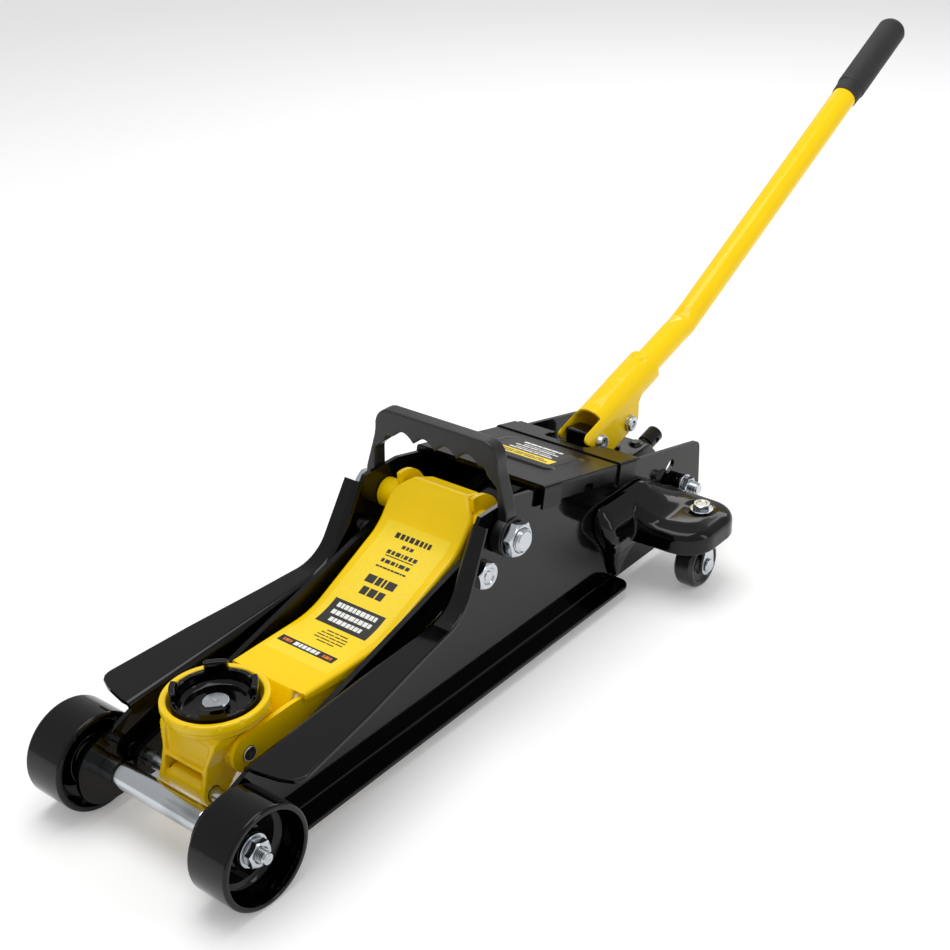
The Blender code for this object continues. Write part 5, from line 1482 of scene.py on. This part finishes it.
def build_handle_grip():
    """Rubber sleeve with a rolled collar and a domed end."""
    end = tube_path()[1]
    cap = end[0] + 4
    start = cap - GRIP_LENGTH
    corners = [(start, 13.3, 0), (start, 13.9, 0.5), (start + 14.4, 14.5, 0.6), (start + 15.4, 15.2, 0.5),
               (start + 17.5, 15.5, 1.0), (cap - 6, 15.5, 6), (cap, 12.5, 5), (cap, 4.0, 0),
               (cap - 1.2, 3.0, 0.5),
               (cap - 1.2, 0, 0)]
    profile = rounded(corners, closed=False, steps=8) + [(end[0] + GAP, 0), (end[0] + GAP, 13.3)]
    grip = turned(profile, "Y", (0, end[1]), 96, closed=True)
    tilted(grip, math.degrees(BEND_ANGLE), end)
    place(to_socket(grip), "rubber_grip", "handle", ["handle_grip"], "grip_rubber")


def build_socket_bolts():
    """Pivot bolt, roller bolt, and the roller on it."""
    reach = SOCKET_HALF + GAP
    for name, node, centre in (("pivot_pin_bolt", "socket_pivot_bolt", (0.0, 0.0)),
                               ("roller_pin_bolt", "roller_bolt", ROLLER_AT)):
        profile = rounded([(-reach - 1, 0, 0), (-reach - 1, 5, 0.4), (reach, 5, 0), (reach, 7.5, 0.8),
                           (reach + 4.5, 7.3, 1.4), (reach + 4.5, 3.2, 0.3), (reach + 3.0, 3.0, 0.3),
                           (reach + 3.0, 0, 0)], closed=False, steps=4)
        bolt = turned(profile, "X", centre, 64)
        join(bolt, hexagon("X", centre, 12, -reach - 5, -reach, turn=0.2),
             washer("X", centre, 4.9, 8.2, reach - 0.15, reach + 0.9))
        place(to_socket(bolt), name, "handle", [node], "bright_zinc_plate")
    roller = washer("X", ROLLER_AT, 5.3, 6.5, -10, 10, 0.4)
    place(to_socket(roller), "pump_roller", "handle", ["plunger_roller"], "ground_steel")


# -------------------------------------------------------------- carry handle
def build_carry_handle(sizes):
    """Moulded bail: slanted legs, a bar with four finger scallops, and ringed bosses on the shaft."""
    top = spot("carry_handle")[1].z
    foot = PLATE_OUT + 1.2
    outer_foot = foot + 11
    half = PLATE_OUT - 2
    inside = half - 12
    pivot_y, pivot_z = ARM_PIVOT
    outer = [(outer_foot, pivot_z, 0), (outer_foot - 0.5, pivot_z + 22, 24), (half + 3.5, 190, 40),
             (half + 2.5, top, 15), (0, top, 0)]
    pitch = (2 * inside - 8) / 4
    scallops = []
    for step in range(1, 64):
        x = 2 * pitch * (1 - step / 32)
        scallops.append((x, 190 + 7 * abs(math.sin(math.pi * x / pitch))))
    inner_right = rounded([(foot, pivot_z, 0), (foot, 176, 5), (inside + 4, 185, 6), (inside + 2, 192, 4),
                           (2 * pitch + 0.5, 190, 0)], closed=False, steps=6)
    inner_left = [(-x, z) for x, z in reversed(inner_right)]
    outer_left = rounded([(-x, z, radius) for x, z, radius in outer], closed=False, steps=8)[:-1]
    outer_right = [(-x, z) for x, z in reversed(outer_left)]
    bail = inner_right + scallops + inner_left + outer_left + outer_right
    bail = [point for index, point in enumerate(bail) if math.dist(point, bail[index - 1]) > 0.05]
    handle = prism(bail, "Y", pivot_y - 6.5, pivot_y + 6.5)
    softened(handle, 0.8, sizes.mould_rounds)
    for vertex in handle.data.vertices:
        vertex.co.y += 0.07 * max(vertex.co.z - 150, 0)
    for side in (1, -1):
        ends = sorted((side * foot, side * outer_foot))
        boss = bar("X", ARM_PIVOT, 17, ends[0], ends[1], 1.8, 72)
        rim_low = side * (outer_foot - 0.2)
        join(handle, boss)
        face = sorted((rim_low, rim_low + side * 1.6))
        join(handle, washer("X", ARM_PIVOT, 15.2, 17, face[0], face[1], 0.6))
    drill(handle, cutter("X", ARM_PIVOT, 10.3, -100, 100, 48))
    dimple = turned([(pivot_y - 9, 0), (pivot_y - 9, 2.4), (pivot_y - 5.6, 2.0), (pivot_y - 5.4, 0)],
                    "Y", (43, 196), 32)
    drill(handle, dimple)
    place(handle, "carry_bail", "carry_handle", ["carry_handle"], "moulded_polypropylene")


# ------------------------------------------------------------------- labels
def build_labels(sizes):
    """Plain printed labels: fields, bars and rules only, laid on the arm and on the rear cover."""
    line = cover_line()
    lengths = [0.0]
    for one, two in zip(line, line[1:]):
        lengths.append(lengths[-1] + math.dist(one, two))

    def on_arm(x, along, lift):
        """Point at a distance along the arm's top face, and lift above it."""
        index = max(i for i, length in enumerate(lengths) if length <= along)
        index = min(index, len(line) - 2)
        run = (Vector(line[index + 1]) - Vector(line[index])).normalized()
        base = Vector(line[index]) + run * (along - lengths[index])
        return (x, base.x - run.y * lift, base.y + run.x * lift)

    def on_rear(x, y, lift):
        """Point above the rear cover's raised panel."""
        return (x, y, plate_top(y) + GAP + 2.5 + sizes.panel_rise + lift)

    def field(build, mapped, x0, x1, a0, a1, lift, slant=0.0):
        """Thin patch that follows a surface, from x0 to x1 and a0 to a1."""
        count = max(2, math.ceil(abs(a1 - a0) / 2.5))
        rows = []
        for level in (lift, 0.02):
            row = []
            for step in range(count + 1):
                along = a0 + (a1 - a0) * step / count
                lean = slant * (along - a0)
                row.append([build.verts.new(mapped(x + lean, along, level)) for x in (x0, x1)])
            rows.append(row)
        top, low = rows
        for one, two, under_one, under_two in zip(top, top[1:], low, low[1:]):
            build.faces.new((one[0], one[1], two[1], two[0]))
            build.faces.new((under_one[0], under_two[0], under_two[1], under_one[1]))
            build.faces.new((one[0], two[0], under_two[0], under_one[0]))
            build.faces.new((one[1], under_one[1], under_two[1], two[1]))
        for end, under in ((top[0], low[0]), (top[-1], low[-1])):
            build.faces.new((end[0], end[1], under[1], under[0]))

    def bars(build, mapped, centre, width, along, height, words, lift, slant=0.0, gap=1.3):
        """A row of short bars that stands for one line of print, its word lengths given as shares."""
        total = sum(words)
        at = centre - width / 2
        for word in words:
            span = (width - gap * (len(words) - 1)) * word / total
            field(build, mapped, at, at + span, along, along + height, lift, slant)
            at += span + gap

    sheets = {name: bmesh.new() for name in ("film", "black", "white", "orange")}
    field(sheets["film"], on_arm, -34, 34, 30, 190, 0.06)
    rows = ((177, 5.2, 38, (7, 6, 5, 7, 6, 5, 4, 5)), (169.5, 3.4, 12, (4, 3, 4)),
            (161, 4.0, 32, (5, 4, 6, 2, 5, 4, 5)), (158.6, 1.0, 30, (20, 9)),
            (152, 3.6, 30, (3, 5, 4, 2, 6, 4)),
            (146.5, 1.6, 32, (4, 3, 5, 3, 4, 6, 2, 4)), (130, 8.0, 31, (7, 4, 2, 7)),
            (118, 8.0, 24, (7, 8, 7)))
    for along, height, width, words in rows:
        bars(sheets["black"], on_arm, 0, width, along, height, words, 0.12, gap=min(1.4, 0.35 * height))
    field(sheets["black"], on_arm, -27, 27, 80, 107, 0.12)
    for step, (width, words) in enumerate(((42, (4, 3, 4, 4, 3, 4, 5, 4, 4, 3)),
                                           (42, (4, 4, 3, 4, 5, 3, 4, 4, 3)),
                                           (34, (4, 3, 5, 4, 4, 3, 4, 3)))):
        bars(sheets["white"], on_arm, 0, width, 99.5 - step * 7.6, 4.6, words, 0.17, gap=0.8)
    for step, (width, words) in enumerate(((22, (5, 3, 6)), (28, (3, 6, 4, 5)), (30, (6, 2, 5, 7)),
                                           (30, (4, 7, 3, 5)), (18, (5, 4)))):
        bars(sheets["black"], on_arm, 3, width, 74 - step * 3.6, 1.2, words, 0.12, gap=0.9)
    field(sheets["black"], on_arm, -32, 27, 42, 50, 0.12)
    bars(sheets["white"], on_arm, -3, 26, 43.8, 4.4, (5, 3, 4, 4, 5, 3), 0.17, gap=0.9)
    for centre in (-23.5, 19):
        bars(sheets["orange"], on_arm, centre, 9, 44.4, 3.2, (2, 5, 2), 0.17, gap=0.8)

    front = spot("top_cover")[0].y + 47
    field(sheets["black"], on_rear, -30, 36, front, front + 42, 0.06)
    field(sheets["film"], on_rear, -30, 36, front + 3, front + 15, 0.11)
    bars(sheets["black"], on_rear, 3, 56, front + 6, 2.2, (4, 2, 3, 2), 0.16)
    bars(sheets["black"], on_rear, 3, 44, front + 10, 1.8, (3, 5, 2), 0.16)
    lines = ((46, 2.4, (3, 2, 4, 2, 5)), (38, 1.4, (5, 2, 3, 4)), (46, 2.2, (2, 3, 3, 5, 2)),
             (34, 1.4, (4, 3, 6)),
             (42, 3.2, (3, 3, 2, 4, 3, 2)))
    for step, (width, height, words) in enumerate(lines):
        bars(sheets["white"], on_rear, 4, width, front + 18.5 + step * 4.7, height, words, 0.11, gap=0.8)
    return sheets


def place_labels(sizes):
    """Make each colour of print one piece on the arm and one on the rear cover."""
    finishes = {"film": "label_film", "black": "label_black_ink", "white": "label_white_ink",
                "orange": "label_orange_ink"}
    for name, build in build_labels(sizes).items():
        made = mesh_object(build)
        split = [face.index for face in made.data.polygons if face.center.y > COVER_REAR + 50]
        if split:
            rear = made.copy()
            rear.data = made.data.copy()
            bpy.context.scene.collection.objects.link(rear)
            keep_faces(rear, lambda centre: centre.y > COVER_REAR + 50)
            keep_faces(made, lambda centre: centre.y <= COVER_REAR + 50)
            place(rear, f"rear_label_{name}", "chassis", [], finishes[name])
        place(made, f"arm_label_{name}", "lift_arm", [], finishes[name])


def keep_faces(made, wanted):
    """Delete the faces whose centres are not wanted."""
    build = bmesh.new()
    build.from_mesh(made.data)
    gone = [face for face in build.faces if not wanted(face.calc_center_median())]
    bmesh.ops.delete(build, geom=gone, context="FACES")
    build.to_mesh(made.data)
    build.free()


# -------------------------------------------------------------------- stage
# The camera stands in front, to the right and above, in metres, rolled two degrees.
CAMERA_PLACE = (0.7523, -1.0675, 0.7559)
CAMERA_RIGHT = Vector((0.7764, 0.6293, -0.0360))
CAMERA_FORWARD = Vector((-0.5712, 0.6783, -0.4621))
FLOOR_HALF = 6.0
FLOOR_CLOUDS_PER_METRE = 3.0


def build_stage(stage):
    """Pale floor, even sky, three soft lamps and the camera."""
    floor_colour = linear(stage.floor)
    build = bmesh.new()
    signs = ((-1, -1), (1, -1), (1, 1), (-1, 1))
    build.faces.new([build.verts.new((x * FLOOR_HALF, y * FLOOR_HALF, 0)) for x, y in signs])
    floor = mesh_object(build)
    floor.name = "studio_floor"
    tree, shader = new_finish("matt_white_floor", {"Roughness": 0.7, "Specular IOR Level": 0.2})
    at = surface_place(tree)
    cloud = add_node(tree, "ShaderNodeTexNoise", {}, {"Vector": at, "Scale": FLOOR_CLOUDS_PER_METRE,
                                                      "Detail": 2.0})
    tree.links.new(ramped(tree, cloud.outputs["Fac"], [(0.3, dimmed(floor_colour, 0.985)),
                                                       (0.7, floor_colour)]),
                   shader.inputs["Base Color"])
    shader.inputs["Emission Color"].default_value = (1, 1, 1, 1)
    shader.inputs["Emission Strength"].default_value = stage.glow
    floor.data.materials.append(FINISHES["matt_white_floor"])

    world = bpy.data.worlds.new("studio")
    bpy.context.scene.world = world
    world.use_nodes = True
    sky = world.node_tree.nodes["Background"]
    sky.inputs["Color"].default_value = (1, 1, 1, 1)
    sky.inputs["Strength"].default_value = stage.world

    def softbox(name, power, size_x, size_y, place_at, aim):
        """Soft rectangular lamp, aimed at a point."""
        light = bpy.data.lights.new(name, "AREA")
        light.shape = "RECTANGLE"
        light.size = size_x
        light.size_y = size_y
        light.energy = power
        lamp = bpy.data.objects.new(name, light)
        bpy.context.scene.collection.objects.link(lamp)
        lamp.location = place_at
        lamp.rotation_euler = (Vector(aim) - Vector(place_at)).to_track_quat("-Z", "Y").to_euler()

    softbox("overhead", stage.key, 1.6, 1.6, (-0.3, -0.1, 2.2), (0, 0, 0))
    softbox("side_strip", stage.fill, 0.4, 1.8, (1.9, 0.3, 1.0), (0, 0, 0.1))
    softbox("rear_strip", stage.fill, 1.8, 0.4, (-0.6, 1.8, 1.3), (0, 0, 0.1))

    camera = bpy.data.objects.new("camera", bpy.data.cameras.new("camera"))
    bpy.context.scene.collection.objects.link(camera)
    camera.data.lens = stage.lens
    camera.data.sensor_width = 36
    up = CAMERA_RIGHT.cross(CAMERA_FORWARD)
    turn = Matrix((CAMERA_RIGHT, up, -CAMERA_FORWARD)).transposed().to_4x4()
    camera.matrix_world = Matrix.Translation(CAMERA_PLACE) @ turn
    bpy.context.scene.camera = camera
    bpy.context.scene.view_settings.view_transform = "Standard"


# ---------------------------------------------------------------- operators
class JACK_OT_finishes(bpy.types.Operator):
    """Mix the enamels, platings, plastics and inks that the pieces take"""

    bl_idname = "jack.finishes"
    bl_label = "Finishes"

    def execute(self, context):
        mix_finishes(context.scene.jack_colours)
        return {"FINISHED"}


class JACK_OT_side_plates(bpy.types.Operator):
    """Press the two side plates, with their folded flanges and holes"""

    bl_idname = "jack.side_plates"
    bl_label = "Side Plates"

    def execute(self, context):
        build_side_plates(context.scene.jack_sizes)
        return {"FINISHED"}


class JACK_OT_front_axle(bpy.types.Operator):
    """Turn the front axle, its washers and its lock nuts"""

    bl_idname = "jack.front_axle"
    bl_label = "Front Axle"

    def execute(self, context):
        build_front_axle(context.scene.jack_sizes)
        return {"FINISHED"}


class JACK_OT_front_wheels(bpy.types.Operator):
    """Turn the two front wheels, with their deep outer cups"""

    bl_idname = "jack.front_wheels"
    bl_label = "Front Wheels"

    def execute(self, context):
        build_front_wheels()
        return {"FINISHED"}


class JACK_OT_cross_rods(bpy.types.Operator):
    """Make the tie rod, the pivot shaft and the pins and bolts that cross the frame"""

    bl_idname = "jack.cross_rods"
    bl_label = "Cross Rods"

    def execute(self, context):
        build_cross_rods(context.scene.jack_sizes)
        return {"FINISHED"}


class JACK_OT_top_cover(bpy.types.Operator):
    """Press the rear cover, with its embossed panel"""

    bl_idname = "jack.top_cover"
    bl_label = "Rear Cover"

    def execute(self, context):
        build_top_cover(context.scene.jack_sizes)
        return {"FINISHED"}


class JACK_OT_caster_brackets(bpy.types.Operator):
    """Draw the two domed brackets that carry the casters"""

    bl_idname = "jack.caster_brackets"
    bl_label = "Caster Brackets"

    def execute(self, context):
        build_caster_brackets()
        return {"FINISHED"}


class JACK_OT_casters(bpy.types.Operator):
    """Make the swivel bolts, forks, rivets and caster wheels"""

    bl_idname = "jack.casters"
    bl_label = "Casters"

    def execute(self, context):
        build_casters()
        return {"FINISHED"}


class JACK_OT_arm_cover(bpy.types.Operator):
    """Press the cover of the lifting arm"""

    bl_idname = "jack.arm_cover"
    bl_label = "Arm Cover"

    def execute(self, context):
        build_arm_cover()
        return {"FINISHED"}


class JACK_OT_arm_cheeks(bpy.types.Operator):
    """Cut the two side members of the lifting arm, with their bosses"""

    bl_idname = "jack.arm_cheeks"
    bl_label = "Arm Cheeks"

    def execute(self, context):
        build_arm_cheeks()
        return {"FINISHED"}


class JACK_OT_link_bars(bpy.types.Operator):
    """Cut the two bars that keep the saddle level"""

    bl_idname = "jack.link_bars"
    bl_label = "Level Links"

    def execute(self, context):
        build_link_bars()
        return {"FINISHED"}


class JACK_OT_saddle(bpy.types.Operator):
    """Cast the saddle and its ring, with the bolt that holds the pad"""

    bl_idname = "jack.saddle"
    bl_label = "Saddle"

    def execute(self, context):
        build_saddle(context.scene.jack_sizes)
        return {"FINISHED"}


class JACK_OT_saddle_pad(bpy.types.Operator):
    """Press the four-lipped cup that turns on the saddle"""

    bl_idname = "jack.saddle_pad"
    bl_label = "Saddle Pad"

    def execute(self, context):
        build_saddle_pad()
        return {"FINISHED"}


class JACK_OT_ram(bpy.types.Operator):
    """Make the piston rod and its head"""

    bl_idname = "jack.ram"
    bl_label = "Ram"

    def execute(self, context):
        build_ram()
        return {"FINISHED"}


class JACK_OT_cylinder(bpy.types.Operator):
    """Turn the hydraulic cylinder and its gland nut"""

    bl_idname = "jack.cylinder"
    bl_label = "Cylinder"

    def execute(self, context):
        build_cylinder()
        return {"FINISHED"}


class JACK_OT_springs(bpy.types.Operator):
    """Wind the return springs and the plunger spring"""

    bl_idname = "jack.springs"
    bl_label = "Springs"

    def execute(self, context):
        build_springs(context.scene.jack_sizes)
        return {"FINISHED"}


class JACK_OT_pump_block(bpy.types.Operator):
    """Cast the pump and valve block"""

    bl_idname = "jack.pump_block"
    bl_label = "Pump Block"

    def execute(self, context):
        build_pump_block(context.scene.jack_sizes)
        return {"FINISHED"}


class JACK_OT_plunger(bpy.types.Operator):
    """Turn the pump plunger"""

    bl_idname = "jack.plunger"
    bl_label = "Plunger"

    def execute(self, context):
        build_plunger()
        return {"FINISHED"}


class JACK_OT_release_valve(bpy.types.Operator):
    """Turn the lowering valve and its knuckle"""

    bl_idname = "jack.release_valve"
    bl_label = "Release Valve"

    def execute(self, context):
        build_release_valve()
        return {"FINISHED"}


class JACK_OT_handle_socket(bpy.types.Operator):
    """Fold the handle socket and its locking tab"""

    bl_idname = "jack.handle_socket"
    bl_label = "Handle Socket"

    def execute(self, context):
        build_handle_socket(context.scene.jack_sizes)
        return {"FINISHED"}


class JACK_OT_handle_tube(bpy.types.Operator):
    """Bend the handle tube"""

    bl_idname = "jack.handle_tube"
    bl_label = "Handle Tube"

    def execute(self, context):
        build_handle_tube()
        return {"FINISHED"}


class JACK_OT_handle_grip(bpy.types.Operator):
    """Mould the rubber grip"""

    bl_idname = "jack.handle_grip"
    bl_label = "Handle Grip"

    def execute(self, context):
        build_handle_grip()
        return {"FINISHED"}


class JACK_OT_socket_bolts(bpy.types.Operator):
    """Make the pins and the roller that cross the handle socket"""

    bl_idname = "jack.socket_bolts"
    bl_label = "Socket Bolts"

    def execute(self, context):
        build_socket_bolts()
        return {"FINISHED"}


class JACK_OT_carry_handle(bpy.types.Operator):
    """Mould the folding carry handle"""

    bl_idname = "jack.carry_handle"
    bl_label = "Carry Handle"

    def execute(self, context):
        build_carry_handle(context.scene.jack_sizes)
        return {"FINISHED"}


class JACK_OT_labels(bpy.types.Operator):
    """Lay the plain printed labels on the lifting arm and the rear cover"""

    bl_idname = "jack.labels"
    bl_label = "Labels"

    def execute(self, context):
        if context.scene.jack_colours.show_labels:
            place_labels(context.scene.jack_sizes)
        return {"FINISHED"}


class JACK_OT_stage(bpy.types.Operator):
    """Lay the floor, and set the light and the camera"""

    bl_idname = "jack.stage"
    bl_label = "Stage"

    def execute(self, context):
        build_stage(context.scene.jack_stage)
        return {"FINISHED"}


STEPS = (JACK_OT_finishes, JACK_OT_side_plates, JACK_OT_front_axle, JACK_OT_front_wheels,
         JACK_OT_cross_rods, JACK_OT_top_cover, JACK_OT_caster_brackets, JACK_OT_casters,
         JACK_OT_arm_cover, JACK_OT_arm_cheeks, JACK_OT_link_bars, JACK_OT_saddle, JACK_OT_saddle_pad,
         JACK_OT_ram, JACK_OT_cylinder, JACK_OT_springs, JACK_OT_pump_block, JACK_OT_plunger,
         JACK_OT_release_valve, JACK_OT_handle_socket, JACK_OT_handle_tube, JACK_OT_handle_grip,
         JACK_OT_socket_bolts, JACK_OT_carry_handle, JACK_OT_labels, JACK_OT_stage)
SETTINGS = (("jack_sizes", JackSizes), ("jack_colours", JackColours), ("jack_stage", StageSettings))


class JACK_PT_sidebar(bpy.types.Panel):
    """The steps in the order that they run, under the sizes and colours that they use"""

    bl_idname = "JACK_PT_sidebar"
    bl_label = "Trolley Jack"
    bl_space_type = "VIEW_3D"
    bl_region_type = "UI"
    bl_category = "Jack"

    def draw(self, context):
        for name, group in SETTINGS:
            box = self.layout.box()
            for prop in group.__annotations__:
                box.prop(getattr(context.scene, name), prop)
        for step in STEPS:
            self.layout.operator(step.bl_idname)


def register():
    """Give the scene its settings, and Blender the steps and the panel."""
    for name, group in SETTINGS:
        bpy.utils.register_class(group)
        setattr(bpy.types.Scene, name, PointerProperty(type=group))
    for step in STEPS:
        bpy.utils.register_class(step)
    bpy.utils.register_class(JACK_PT_sidebar)


def unregister():
    """Take back what register gave."""
    bpy.utils.unregister_class(JACK_PT_sidebar)
    for step in reversed(STEPS):
        bpy.utils.unregister_class(step)
    for name, group in reversed(SETTINGS):
        delattr(bpy.types.Scene, name)
        bpy.utils.unregister_class(group)


def main():
    """Run every step in order."""
    register()
    for step in STEPS:
        getattr(bpy.ops.jack, step.bl_idname.split(".")[1])()


if __name__ == "__main__":
    main()
